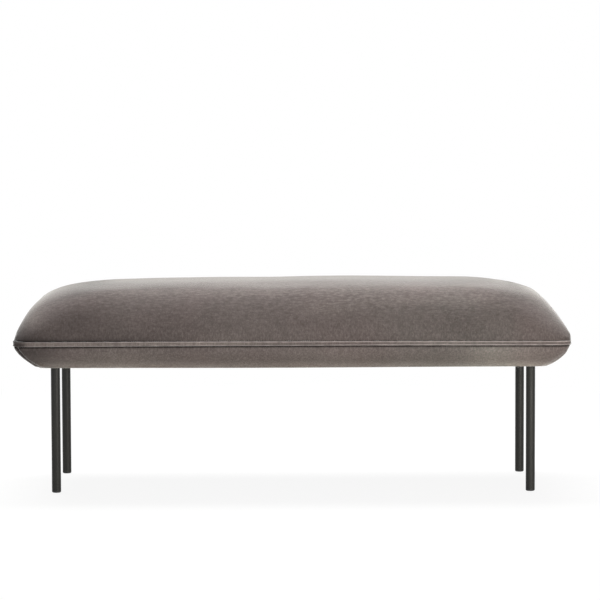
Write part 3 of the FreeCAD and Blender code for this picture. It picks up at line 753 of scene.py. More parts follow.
def hardboard_finish():
    """Brown hardboard: pressed fibres."""
    paint = Paint("pressed_hardboard", roughness=0.75, specular=0.25)
    fibre = paint.grain(0.0022, 4.0, 0.7)
    cloud = paint.grain(0.03, 2.0)
    colour = paint.tint(fibre, 0.35, 0.7, linear(126, 88, 58), linear(96, 64, 42))
    colour = paint.tint(cloud, 0.4, 0.7, colour, linear(142, 102, 68), 0.4)
    return paint.done(colour, paint.bump(fibre, 0.0003, 0.6))


def webbing_finish():
    """Woven jute and rubber webbing, with ribs across and coloured lines along."""
    paint = Paint("woven_webbing", roughness=0.85, sheen=0.2, specular=0.2)
    ribs = []
    for axis in ("X", "Y"):
        wave = paint.math("MULTIPLY", paint.axis(axis), 2 * math.pi / RIB_PITCH)
        ribs.append(paint.math("SINE", wave))
    weave = paint.math("MULTIPLY", *ribs)
    yarn = paint.grain(0.0008, 2.0)
    colour = paint.tint(weave, -1.0, 1.0, linear(92, 78, 58), linear(172, 152, 116))
    colour = paint.tint(yarn, 0.4, 0.7, colour, linear(120, 100, 74), 0.5)
    return paint.done(colour, paint.bump(weave, 0.0004, 0.8))


def foam_finish(name, first, second, cell):
    """Cut polyether foam: open cells and a little yellowing."""
    paint = Paint(name, roughness=0.95, specular=0.1)
    cells = paint.cells(cell)
    cloud = paint.grain(0.06, 3.0)
    colour = paint.tint(cloud, 0.35, 0.7, first, second)
    colour = paint.blend(paint.between(cells, 0.2, 0.6, 0.35, 0.0), colour, linear(120, 112, 92))
    return paint.done(colour, paint.bump(cells, 0.0004, 0.7))


def wadding_finish(name, first, second, pitch):
    """Fibre wadding or felt: a tangle of fibres."""
    paint = Paint(name, roughness=0.95, sheen=0.35, specular=0.1)
    tangle = paint.grain(pitch, 5.0, 0.75)
    cloud = paint.grain(pitch * 12, 2.0)
    colour = paint.tint(tangle, 0.35, 0.7, first, second)
    colour = paint.tint(cloud, 0.4, 0.7, colour, first, 0.35)
    return paint.done(colour, paint.bump(tangle, 0.0006, 0.7))


def dust_cloth_finish():
    """Black spun-bonded dust cloth with its embossed dots."""
    paint = Paint("spun_dust_cloth", roughness=0.9, sheen=0.25, specular=0.15)
    dots = paint.cells(0.0032, 0.25)
    fibre = paint.grain(0.0015, 4.0, 0.7, (2, 1, 1))
    colour = paint.tint(fibre, 0.35, 0.7, linear(34, 34, 35), linear(58, 58, 60))
    colour = paint.blend(paint.between(dots, 0.1, 0.22, 0.5, 0.0), colour, linear(22, 22, 23))
    return paint.done(colour, paint.bump(dots, 0.0002, 0.5))


def straight_rays(maker):
    """1 for the rays that show the background: from the camera, off a mirror or through glass."""
    rays = maker.add("ShaderNodeLightPath").outputs
    seen = maker.math("MAXIMUM", rays["Is Camera Ray"], rays["Is Glossy Ray"])
    return maker.math("MAXIMUM", seen, rays["Is Transmission Ray"])


def floor_finish(settings):
    """Pale studio floor that the camera sees as white with a trace of the bench's shadow."""
    paint = Paint("studio_floor", roughness=0.95, specular=0.05)
    grain = paint.grain(0.05, 3.0)
    colour = paint.tint(grain, 0.3, 0.7, linear(232, 232, 231), linear(238, 238, 237))
    white = paint.add("ShaderNodeEmission", {"Color": (1, 1, 1, 1), "Strength": 1.0})
    from_middle = paint.add("ShaderNodeVectorMath", {0: paint.place}, operation="LENGTH").outputs["Value"]
    near = paint.between(from_middle, 0.5, 2.0, 1 - settings.shadow_share, 1.0)
    share = paint.math("MULTIPLY", straight_rays(paint), near)
    mix = paint.add("ShaderNodeMixShader", {0: share, 1: paint.shader.outputs[0], 2: white.outputs[0]})
    paint.put(paint.tree.nodes["Material Output"].inputs["Surface"], mix.outputs[0])
    return paint.done(colour)


FINISHES = {}


def shared(make, *values):
    """The material that a function makes, made the first time it is asked for."""
    key = (make, *[value for value in values if isinstance(value, str)])
    if key not in FINISHES:
        FINISHES[key] = make(*values)
    return FINISHES[key]


# Settings

class BenchCoverSettings(bpy.types.PropertyGroup):
    """Colours and small forms of the velvet cover"""

    pile_colour: FloatVectorProperty(
        name="Pile", description="Main colour of the velvet", subtype="COLOR",
        default=linear(96.5, 88, 86), min=0, max=1,
    )
    cool_colour: FloatVectorProperty(
        name="Cool pile", description="Colour that the pile drifts towards", subtype="COLOR",
        default=linear(90, 86.5, 83.5), min=0, max=1,
    )
    shade_colour: FloatVectorProperty(
        name="Flattened pile", description="Colour where the pile lies over", subtype="COLOR",
        default=linear(65, 58.5, 57), min=0, max=1,
    )
    light_colour: FloatVectorProperty(
        name="Brushed pile", description="Colour where the pile is brushed up", subtype="COLOR",
        default=linear(122.5, 113.5, 111), min=0, max=1,
    )
    # Painted sheen: the pale colour painted where the velvet is seen edge-on, mostly on its upper part
    painted_sheen_colour: FloatVectorProperty(
        name="Painted sheen", description="Colour of the pile seen along the cloth", subtype="COLOR",
        default=linear(190, 187, 181), min=0, max=1,
    )
    # Painted shade: the brightness that the velvet keeps where it is painted darker
    painted_shade_brightness: FloatProperty(
        name="Painted shade", description="Brightness that is left where the pile is pressed flat",
        default=0.43, min=0, max=1, subtype="FACTOR",
    )
    # Painted highlight: how many times brighter the velvet is painted where light falls on it
    highlight_gain: FloatVectorProperty(
        name="Painted highlight", description="How many times brighter each colour is where the pile stands up",
        default=(1.90, 1.98, 1.92), min=1, max=3,
    )
    low_tint: FloatVectorProperty(
        name="Low tint", description="Colour that the light off the floor gives the lower edge",
        subtype="COLOR", default=(1.0, 0.985, 0.92), min=0, max=1,
    )
    # Painted highlight on the ridges along the seams, where light catches them
    ridge_highlight_colour: FloatVectorProperty(
        name="Ridge highlight", description="Colour of the ridges along the seams", subtype="COLOR",
        default=linear(168, 159, 157), min=0, max=1,
    )
    # Painted shade deep in the seams and folds
    crease_shade_colour: FloatVectorProperty(
        name="Crease shade", description="Colour deep in the seams and folds", subtype="COLOR",
        default=linear(16, 13, 13), min=0, max=1,
    )
    sheen_colour: FloatVectorProperty(
        name="Sheen", description="Tint of the velvet's sheen", subtype="COLOR",
        default=(0.88, 0.885, 0.865), min=0, max=1,
    )
    pucker: FloatProperty(
        name="Pucker", description="Height of the small puckers along the seams",
        default=0.0005, min=0, max=0.003, subtype="DISTANCE", unit="LENGTH", precision=4,
    )
    fold: FloatProperty(
        name="Corner fold", description="Height of the small folds that run out of the corners",
        default=0.0005, min=0, max=0.005, subtype="DISTANCE", unit="LENGTH", precision=4,
    )
    pressure: FloatProperty(
        name="Filling pressure", description="Pressure of the filling in the cloth simulation",
        default=4.0, min=0, max=20,
    )
    swell_limit: FloatProperty(
        name="Swell limit", description="Furthest that the simulation may move the cover",
        default=0.0025, min=0, max=0.03, subtype="DISTANCE", unit="LENGTH", precision=4,
    )
    frames: IntProperty(
        name="Frames", description="Length of the cloth simulation", default=20, min=2, max=60,
    )


class BenchSeamSettings(bpy.types.PropertyGroup):
    """Sizes of the stitches"""

    pitch: FloatProperty(
        name="Stitch pitch", description="Distance from one stitch to the next",
        default=0.0045, min=0.001, max=0.02, subtype="DISTANCE", unit="LENGTH", precision=4,
    )
    thread: FloatProperty(
        name="Thread", description="Thickness of the thread",
        default=0.0006, min=0.0002, max=0.003, subtype="DISTANCE", unit="LENGTH", precision=4,
    )


class BenchLegSettings(bpy.types.PropertyGroup):
    """Colour of the legs"""

    leg_colour: FloatVectorProperty(
        name="Legs", description="Colour of the powder coat", subtype="COLOR",
        default=linear(28, 28, 26), min=0, max=1,
    )


class BenchStageSettings(bpy.types.PropertyGroup):
    """Camera, light and floor"""

    lens: FloatProperty(
        name="Lens", description="Focal length on a 36 mm sensor, in millimetres",
        default=177.6, min=20, max=400,
    )
    place: FloatVectorProperty(
        name="Camera", description="Place of the camera", subtype="TRANSLATION", unit="LENGTH",
        default=(-0.0060, -6.561, 0.9347),
    )
    pitch: FloatProperty(
        name="Pitch", description="How far the camera looks down, in degrees", default=4.5985,
    )
    yaw: FloatProperty(
        name="Yaw", description="How far the camera looks to the right, in degrees", default=0.1935,
    )
    roll: FloatProperty(
        name="Roll", description="How far the camera leans, in degrees", default=-0.1934,
    )
    ambient: FloatProperty(
        name="Room light", description="Strength of the even light from all round",
        default=0.30, min=0, max=2,
    )
    shadow_share: FloatProperty(
        name="Shadow share", description="How much of the floor's own shading the camera sees",
        default=0.10, min=0, max=1, subtype="FACTOR",
    )


# Cover

# The cloth simulation: its cell, how far up the seam holds it, and how its bulges are evened out
CLOTH_CELL = 0.008
HELD_HEIGHT = 0.006
CROWN_SCALE = 0.12
SMOOTHED_OVER = 30

# How high over the seam, and how far from the ends, the bulges come in
SWELL_RISE = 0.045
SWELL_ENDS = (0.15, 0.30)

# How far the hidden edges of the seam allowance lie over or under the seam
COVER_HEM = 0.0006
BAND_HEM = 0.0004


class Swell:
    """How a cloth simulation of the filled cover bulges it, beyond its even shape."""

    def __init__(self, settings):
        start, end, normals = self.simulate(settings)
        above = start[:, 2] - seam_level(start[:, 0])
        free = above > HELD_HEIGHT
        bulge = np.sum((end - start) * normals, axis=1)[free]
        across = start[free, 0] / HALF_LENGTH
        deep = start[free, 1] / HALF_DEPTH
        high = above[free] / CROWN_SCALE
        terms = [across ** i * deep ** j * high ** k for i in range(5) for j in range(3) for k in range(4)]
        terms = np.stack(terms, axis=1)
        even = terms @ np.linalg.lstsq(terms, bulge, rcond=None)[0]
        self.tree = point_tree(start[free])
        self.bulges = bulge - even
        near = [[index for _, index, _ in self.tree.find_n(place, SMOOTHED_OVER)] for place in start[free]]
        for _ in range(2):
            self.bulges = np.array([self.bulges[row].mean() for row in near])
        self.bulges = settings.swell_limit * np.tanh(self.bulges / settings.swell_limit)

    def simulate(self, settings):
        """A coarse copy of the cover, filled: its points before and after, and its normals."""
        outline = rim_columns(*SWELL_GRID)
        rings = [ring_at(outline, HALF_DEPTH, 0.0, LOWER_SEAM)]
        rings.append(ring_at(outline, 0.004, RIM_CORNER, LOWER_SEAM))
        rings += [crown_points(outline, inset) for inset in crown_insets(SWELL_RINGS)]
        pattern = bpy.data.materials.new("pattern")
        cloth = ring_piece("cover_pattern", rings, pattern)
        remesh = cloth.modifiers.new("grid", "REMESH")
        remesh.mode = "VOXEL"
        remesh.voxel_size = CLOTH_CELL
        settle(cloth)
        start, normals = mesh_points(cloth)
        held = cloth.vertex_groups.new(name="held")
        fixed = np.nonzero(start[:, 2] < seam_level(start[:, 0]) + HELD_HEIGHT)[0]
        held.add([int(index) for index in fixed], 1.0, "REPLACE")
        modifier = cloth.modifiers.new("cloth", "CLOTH")
        rules = modifier.settings
        rules.quality = 4
        rules.mass = 0.3
        rules.tension_stiffness = 12
        rules.compression_stiffness = 12
        rules.shear_stiffness = 4
        rules.bending_stiffness = 0.4
        rules.use_pressure = True
        rules.uniform_pressure_force = settings.pressure
        rules.vertex_group_mass = "held"
        rules.shrink_min = -0.006
        rules.effector_weights.gravity = 0
        modifier.point_cache.frame_start = 1
        modifier.point_cache.frame_end = settings.frames
        scene = bpy.context.scene
        for step in range(1, settings.frames + 1):
            scene.frame_set(step)
        settle(cloth)
        end, _ = mesh_points(cloth)
        scene.frame_set(1)
        bpy.data.objects.remove(cloth)
        bpy.data.materials.remove(pattern)
        return start, end, normals

    def at(self, points):
        """The bulge at each point, from the nearest places that the simulation knows."""
        bulges = np.zeros(len(points))
        for row, point in enumerate(points):
            near = self.tree.find_n(point, 6)
            weights = np.array([1 / (distance ** 2 + 1e-6) for _, _, distance in near])
            bulges[row] = weights @ self.bulges[[index for _, index, _ in near]] / weights.sum()
        return bulges


def swell_out(piece, settings):
    """Moves the face of a soft piece as the simulation moves the cover, less towards seam and ends."""
    points, normals = mesh_points(piece)
    above = points[:, 2] - seam_level(points[:, 0])
    share = smooth_step(above, 0.0, SWELL_RISE) * smooth_step(normals[:, 2], 0.0, 0.1)
    share = share * smooth_step(HALF_LENGTH - np.abs(points[:, 0]), *SWELL_ENDS)
    moved = np.nonzero(share > 0)[0]
    shift = np.zeros(len(points))
    shift[moved] = shared(Swell, settings).at(points[moved]) * share[moved]
    move_points(piece, points + normals * shift[:, None])


def upper_seam_shade(x):
    """How much painted shade the upper seam gets, less and less towards the right, where the cover closes
    over it more and more.
    """
    return 1 - 0.75 * smooth_step(x, -0.54, -0.16)


def flattened(points):
    """Painted shade, 0 to 1, where less light falls: low on the left half, at the left corners and high on
    the shoulders.
    """
    x, _, z = points.T
    above = np.abs(z - UPPER_SEAM)
    low = np.exp(-above / 0.045) * (0.55 * smooth_step(-x, 0.0, 0.50) + 0.45 * smooth_step(-x, 0.48, 0.58))
    corner = 0.5 * np.exp(-np.maximum(HALF_LENGTH + x, 0) / 0.030) * np.exp(-above / 0.018)
    left = 0.48 * bell(x, -0.462, 0.048) * smooth_step(z - 0.2 * (x + 0.484), 0.419, 0.434)
    right = 0.34 * bell(x, 0.492, 0.028) * smooth_step(z, 0.410, 0.428)
    crest = 0.22 * bell(z, 0.4485, 0.0035) * smooth_step(-x, 0.14, 0.22) * smooth_step(x, -0.48, -0.44)
    crest = crest + 0.14 * bell(z, 0.4525, 0.004) * window(x, 0.26, 0.34, 0.42, 0.47)
    face = 0.34 * bell(x, -0.465, 0.065) * bell(z, 0.385, 0.035)
    border = 0.40 * smooth_step(-x, 0.46, 0.56) * smooth_step(LOWER_SEAM - z, 0.0, 0.008)
    return np.clip(low + corner + left + right + crest + face + border, 0, 1)


def border_highlight(points):
    """Painted highlight, where light falls on the border's pile: near the front legs, and all along the
    lower edge.
    """
    share = (LOWER_SEAM - points[:, 2]) / (LOWER_SEAM - UNDERSIDE)
    x = points[:, 0]
    right = 0.80 * bell(x, 0.425, 0.052) + 0.34 * bell(x, 0.50, 0.05)
    left = 0.5 * bell(x, -0.365, 0.085)
    middle = 0.14 * bell(x, 0.13, 0.09)
    edge = 0.54 + 0.30 * bell(x, 0.50, 0.05)
    return 0.60 * (right + left + middle) + edge * smooth_step(share, 0.62, 0.98)


def crown_highlight(points):
    """Painted highlight, where light falls on the crown's pile: on the left end's face, high on the right
    half and in patches.
    """
    x, _, z = points.T
    end = 0.55 * bell(x, -0.565, 0.028) * smooth_step(z, 0.350, 0.385)
    right = 0.21 * bell(z, 0.422, 0.016) * window(x, -0.05, 0.20, 0.40, 0.50)
    top = 0.20 * bell(z, 0.4435, 0.0055) * window(x, 0.03, 0.10, 0.38, 0.43)
    front = 0.12 * bell(z, 0.436, 0.006) * window(x, -0.42, -0.36, 0.12, 0.20)
    middle = 0.26 * bell(x, 0.08, 0.06) * bell(z, 0.404, 0.014)
    foot = 0.22 * bell(x, -0.17, 0.07) * bell(z, 0.338, 0.014)
    return end + right + top + front + middle + foot


def cover_face(columns, inset):
    """The cover's face with its rounded lip at the seam."""
    points = crown_points(columns, inset)
    left, right = end_shares(columns)
    lip = (0.0013 + 0.0012 * left) * np.exp(-(inset - SEAM_TUCK) / (0.0014 + 0.0012 * left))
    lip = lip - 0.0014 * right * bell(inset, 0.0022, 0.0020)
    return pulled_in(points, columns, lip)


def sewn_edge(columns, points, levels_down):
    """Two hidden rings of seam allowance inside the seam, from the innermost out."""
    rings = []
    for depth, lower in ((ALLOWANCE, levels_down), (ALLOWANCE / 2, levels_down / 2)):
        ring = pulled_in(points, columns, depth)
        ring[:, 2] -= lower
        rings.append(ring)
    return rings


def drape(piece, inset, settings):
    """Puckers at the seam, small folds out of the corners and soft waves in the cover's face."""
    points, normals = mesh_points(piece)
    near_seam = np.exp(-np.maximum(inset - SEAM_TUCK, 0) / 0.009)
    corner_x = np.maximum(HALF_LENGTH - RIM_CORNER - np.abs(points[:, 0]), 0)
    corner_y = np.maximum(HALF_DEPTH - RIM_CORNER - np.abs(points[:, 1]), 0)
    near_corner = np.exp(-(corner_x + corner_y) / 0.035)
    puckers = waves(points, 0.008, (1, 1, 4)) * near_seam * (0.6 + 1.6 * near_corner)
    ripples = waves(points, 0.020, (1, 1, 5), 7.0) * np.exp(-inset / 0.040)
    folds = waves(points, 0.016, (1, 1, 2.5), 3.0) * near_corner * np.exp(-inset / 0.030)
    broad = waves(points, 0.11, (1, 1, 1), 11.0) * smooth_step(inset, 0.01, 0.05)
    offset = settings.pucker * (puckers + 0.7 * ripples) + settings.fold * folds + 0.0006 * broad
    offset = offset * smooth_step(inset, -0.001, SEAM_TUCK + 0.001)
    move_points(piece, points + normals * offset[:, None])


class BENCH_OT_cover_top(bpy.types.Operator):
    """Sews and fills the velvet top of the cushion"""

    bl_idname = "bench.cover_top"
    bl_label = "Cover top"

    def execute(self, context):
        settings = context.scene.bench_cover
        columns = rim_columns(*COVER_GRID)
        insets = crown_insets(COVER_RINGS)
        face = [cover_face(columns, inset) for inset in insets]
        rings = sewn_edge(columns, face[0], -COVER_HEM) + face
        depth = np.repeat([-2 * SEAM_TUCK, -SEAM_TUCK, *insets], len(columns))
        cover = ring_piece("velvet_top", rings, shared(velvet_finish, settings))
        places, _ = mesh_points(cover)
        known = point_tree(np.concatenate(rings))
        keep_value(cover, "inset", [depth[known.find(place)[1]] for place in places])
        subdivide(cover)
        swell_out(cover, settings)
        inset = kept_value(cover, "inset")
        drape(cover, inset, settings)
        places, _ = mesh_points(cover)
        # Painted shade in the upper seam
        pressed = np.exp(-np.maximum(inset - SEAM_TUCK, 0) / 0.0011) * upper_seam_shade(places[:, 0])
        keep_value(cover, "pressed", pressed)
        # Painted shade where less light falls on the crown
        keep_value(cover, "flattened", flattened(places))
        # Painted highlight where light falls on the crown
        keep_value(cover, "brushed", crown_highlight(places))
        thicken(cover, COVER_THICKNESS)
        hand_in(cover, "velvet", "cover_top")
        return {"FINISHED"}


# Seam band

BAND_SECTIONS = 26
RIDGE_SETBACK = 0.0016
RIDGE_WIDTH = 0.0009
GROOVE_DEPTH = 0.0011
LIP_DEPTH = 0.0016
LIP_FADE = 0.0005


def band_ridges(x, setback, height):
    """Height, 0 to 1, of the ridges along both seams at a setback under the upper one."""
    lower_setback = RIDGE_SETBACK + 0.0009 * smooth_step(x, -0.05, 0.20)
    ridges = bell(setback, RIDGE_SETBACK, RIDGE_WIDTH) + bell(height - setback, lower_setback, RIDGE_WIDTH)
    return np.minimum(ridges, 1.0)


def band_inset(x, setback, height):
    """Inset of the band's face at a setback under the upper seam."""
    lips = np.exp(-setback / LIP_FADE) + np.exp(-(height - setback) / LIP_FADE)
    return GROOVE_DEPTH * (1 - band_ridges(x, setback, height)) + LIP_DEPTH * lips


def band_highlight(x):
    """Painted highlight, where light falls on the band's pile: on the left half, short of the tip, and
    right of the middle.
    """
    return 0.36 * window(-x, -0.03, 0.25, 0.562, 0.584) + 0.20 * bell(x, 0.33, 0.08)


class BENCH_OT_seam_band(bpy.types.Operator):
    """Sews the narrow band between the two seams"""

    bl_idname = "bench.seam_band"
    bl_label = "Seam band"

    def execute(self, context):
        settings = context.scene.bench_cover
        columns = rim_columns(*BAND_GRID)
        plan_x, _ = plan(columns, 0.0, RIM_CORNER)
        height = seam_level(plan_x) - lower_level(plan_x)
        rings = []
        worn = []
        pressed = []
        flat = []
        brushed = []
        for section in range(BAND_SECTIONS + 1):
            share = 1 - section / BAND_SECTIONS
            setback = height * share
            inset = band_inset(plan_x, setback, height)
            x, y = plan(columns, inset, RIM_CORNER - inset)
            ring = np.stack((x, y, seam_level(x) - setback), axis=1)
            middle = math.sin(math.pi * share)
            wrinkle = waves(ring, 0.0065, (1, 1, 1.4), 5.0) * 0.00035 * middle
            wrinkle += waves(ring, 0.025, (1, 1, 2), 9.0) * 0.0004
            ring = pulled_in(ring, columns, -wrinkle)
            rings.append(ring)
            ridge = band_ridges(plan_x, setback, height)
            # Painted shade on the band, with more of it at the band's left tip
            shade = 0.45 * flattened(ring) + 0.55 * smooth_step(-ring[:, 0], 0.568, 0.586)
            flat.append(shade)
            # Painted highlight on the band, stronger on its lower half
            brushed.append(band_highlight(ring[:, 0]) * (0.80 + 1.20 * smooth_step(share, 0.30, 0.60)))
            # Painted highlight on the band's ridges, less where painted shade falls
            worn.append(ridge * (0.8 + 0.5 * waves(ring, 0.012, (1, 1, 1), 2.0)) * (1 - 0.9 * shade))
            # Painted shade in both seams of the band
            upper = np.exp(-setback / 0.0006) * upper_seam_shade(ring[:, 0])
            pressed.append(upper + np.exp(-(height - setback) / 0.0011))
        low = sewn_edge(columns, rings[0], -BAND_HEM)
        high = sewn_edge(columns, rings[-1], BAND_HEM)
        rings = low + rings + high[::-1]
        band = ring_piece("velvet_seam_band", rings, shared(velvet_finish, settings))
        for name, values, hidden in (
            ("worn", worn, 0.0),
            ("pressed", pressed, 1.0),
            ("flattened", flat, 0.0),
            ("brushed", brushed, 0.0),
        ):
            edge = np.full(2 * len(columns), hidden)
            keep_value(band, name, np.concatenate([edge, *values, edge]))
        hand_in(band, "velvet", "cover_seam_band")
        return {"FINISHED"}


# Borders

BORDER_ROWS = 26
BORDER_LONG_CELLS = 300
BORDER_SHORT_CELLS = 112
BORDER_CORNER_CELLS = 9
MITRE_WIDTH = 0.0022
BORDER_LIP = 0.0022
BORDER_LIP_FADE = 0.0015
BORDER_SOFTNESS = 0.0009


def border_columns(quarter):
    """Columns of one border, from the middle of one corner to the middle of the next."""
    facing, across, along = side_directions(quarter)
    cells = BORDER_LONG_CELLS if quarter % 2 == 0 else BORDER_SHORT_CELLS
    corner = BORDER_CORNER_CELLS
    columns = []
    for cell in range(corner):
        turned = facing - math.radians(45) * (corner - cell) / corner
        columns.append((*(across - along), turned))
    for cell in range(cells + 1):
        columns.append((*(across + along * (2 * cell / cells - 1)), facing))
    for cell in range(corner):
        turned = facing + math.radians(45) * (cell + 1) / corner
        columns.append((*(across + along), turned))
    return np.array(columns)


def border_rows(columns):
    """Rows of a border from its turned-in edge up to the lower seam, with the way each faces."""
    rows = []
    normals = []
    for inset in (BORDER_RUN + TURN_IN, BORDER_RUN + TURN_IN * 0.66, BORDER_RUN + TURN_IN * 0.33):
        radius = UNDERSIDE_CORNER + (CARCASS_CORNER - UNDERSIDE_CORNER) * (inset - BORDER_RUN) / TURN_IN
        rows.append(ring_at(columns, SEAM_TUCK + inset, radius, UNDERSIDE))
        normals.append(np.tile((0.0, 0.0, -1.0), (len(columns), 1)))
    for row in range(BORDER_ROWS + 1):
        share = 1 - (row / BORDER_ROWS) ** 1.15
        lean = border_lean(share)
        rows.append(border_points(columns, share))
        outwards = (np.cos(columns[:, 2]) * math.sin(lean), np.sin(columns[:, 2]) * math.sin(lean))
        normals.append(np.stack((*outwards, np.full(len(columns), -math.cos(lean))), axis=1))
    return np.concatenate(rows), np.concatenate(normals)


def mitre_distance(points):
    """Distance in plan of each point from its nearest mitre."""
    reach_x = HALF_LENGTH - np.abs(points[:, 0])
    reach_y = HALF_DEPTH - np.abs(points[:, 1])
    return np.abs(reach_x - reach_y) / math.sqrt(2)


class BENCH_OT_borders(bpy.types.Operator):
    """Sews the four borders and turns them in under the seat"""

    bl_idname = "bench.borders"
    bl_label = "Borders"

    def execute(self, context):
        settings = context.scene.bench_cover
        velvet = shared(velvet_finish, settings)
        for quarter, name in enumerate(("front", "right", "back", "left")):
            columns = border_columns(quarter)
            points, normals = border_rows(columns)
            offset, crease_shading = self.shape(points, settings)
            faces = strip_faces(len(points) // len(columns), len(columns))
            border = add_piece("velvet_border_" + name, points + normals * offset[:, None], faces, velvet)
            # Painted shade in the lower seam and the mitres
            keep_value(border, "pressed", crease_shading)
            # Painted shade where less light falls on the border
            keep_value(border, "flattened", flattened(points))
            # Painted highlight where light falls on the border
            keep_value(border, "brushed", border_highlight(points))
            thicken(border, COVER_THICKNESS)
            hand_in(border, "velvet", "cover_border_" + name)
        return {"FINISHED"}

    def shape(self, points, settings):
        """Lip at the seam, grooves at the mitres and soft waves, and how much painted shade each point gets
        in the seam and the mitres.
        """
        from_seam = np.maximum(lower_level(points[:, 0]) - points[:, 2], 0)
        lip = -BORDER_LIP * np.exp(-from_seam / BORDER_LIP_FADE)
        mitre = mitre_distance(points)
        on_left = smooth_step(-points[:, 0], 0.3, 0.5)
        depth = 0.0004 + 0.0018 * on_left
        groove = -depth * bell(mitre, 0.0, MITRE_WIDTH)
        puff = 0.0018 * on_left * bell(mitre, 0.009, 0.006)
        on_face = smooth_step(points[:, 2], UNDERSIDE + 0.001, UNDERSIDE + 0.006)
        soft = waves(points, 0.045, (1, 1, 2), 17.0) * BORDER_SOFTNESS
        ripple = waves(points, 0.016, (1, 1, 4), 19.0) * settings.pucker * np.exp(-from_seam / 0.015)
        puckers = waves(points, 0.007, (1, 1, 3), 23.0) * settings.pucker * np.exp(-mitre / 0.012)
        offset = lip + (groove + puff + soft + ripple + puckers) * on_face
        offset = np.where(points[:, 2] < UNDERSIDE + 0.0005, 0.0, offset)
        seam_shade = bell(from_seam, 0.0, 0.0027)
        mitre_shade = on_face * (0.1 + 0.9 * on_left) * bell(mitre, 0.0, MITRE_WIDTH)
        return offset, np.minimum(seam_shade + mitre_shade, 1.0)


# Stitches

THREAD_INSET = 0.0019
STITCH_SHARE = 0.78


def loop_edges(count, start=0):
    """Edges that join a number of points into a closed line."""
    return [(start + index, start + (index + 1) % count) for index in range(count)]


def stitch_maker(settings):
    """Tree that lays stitches end to end along a line."""
    maker = Maker("stitches", Pitch=settings.pitch, Thread=settings.thread)
    pitch = maker.size("Pitch")
    thread = maker.size("Thread")
    line = maker.out("GeometryNodeMeshToCurve", {"Mesh": maker.size("Geometry")})
    spaced = maker.out("GeometryNodeResampleCurve", {"Curve": line, "Length": pitch}, mode="LENGTH")
    stitch = maker.out("GeometryNodeMeshUVSphere", {"Segments": 8, "Rings": 5, "Radius": 0.5})
    long_scale = maker.math("MULTIPLY", pitch, STITCH_SHARE)
    scale = maker.out("ShaderNodeCombineXYZ", {"X": long_scale, "Y": thread, "Z": thread})
    tangent = maker.out("GeometryNodeInputTangent")
    turn = maker.out("FunctionNodeAlignRotationToVector", {"Vector": tangent}, axis="X")
    wobble = maker.out(
        "FunctionNodeRandomValue",
        {"Min": (0.9, 0.85, 0.85), "Max": (1.08, 1.15, 1.15), "Seed": 3},
        data_type="FLOAT_VECTOR",
    )
    size = maker.out("ShaderNodeVectorMath", {0: scale, 1: wobble}, operation="MULTIPLY")
    maker.close(spaced, stitch, turn, size)
    return maker


class BENCH_OT_stitches(bpy.types.Operator):
    """Lays the thread of both seams"""

    bl_idname = "bench.stitches"
    bl_label = "Stitches"

    def execute(self, context):
        maker = stitch_maker(context.scene.bench_seams)
        thread = shared(thread_finish)
        columns = rim_columns(*COVER_GRID)
        x, _ = plan(columns, SEAM_TUCK, RIM_CORNER)
        for name, level in (("upper", seam_level(x)), ("lower", lower_level(x))):
            points = ring_at(columns, THREAD_INSET, RIM_CORNER - THREAD_INSET, level)
            path = add_points("thread_" + name, points, loop_edges(len(points)))
            maker.make(path, thread)
            hand_in(path, "velvet")
        return {"FINISHED"}


# Fillings

def bare_layer(columns, insets, under):
    """Outer face of a soft layer that far under the cover: from the carcass up over the crown."""
    rings = [crown_points(columns, inset, under) for inset in insets]
    rings = [ring for ring in rings if np.min(ring[:, 2]) > LOWER_SEAM + 0.0005]
    foot = rings[0].copy()
    foot[:, 2] = LOWER_SEAM
    relieved = []
    for ring in [foot, *rings]:
        above = np.maximum(ring[:, 2] - UPPER_SEAM, 0)
        relieved.append(pulled_in(ring, columns, SEAM_RELIEF * np.exp(-above / RELIEF_FADE)))
    return relieved


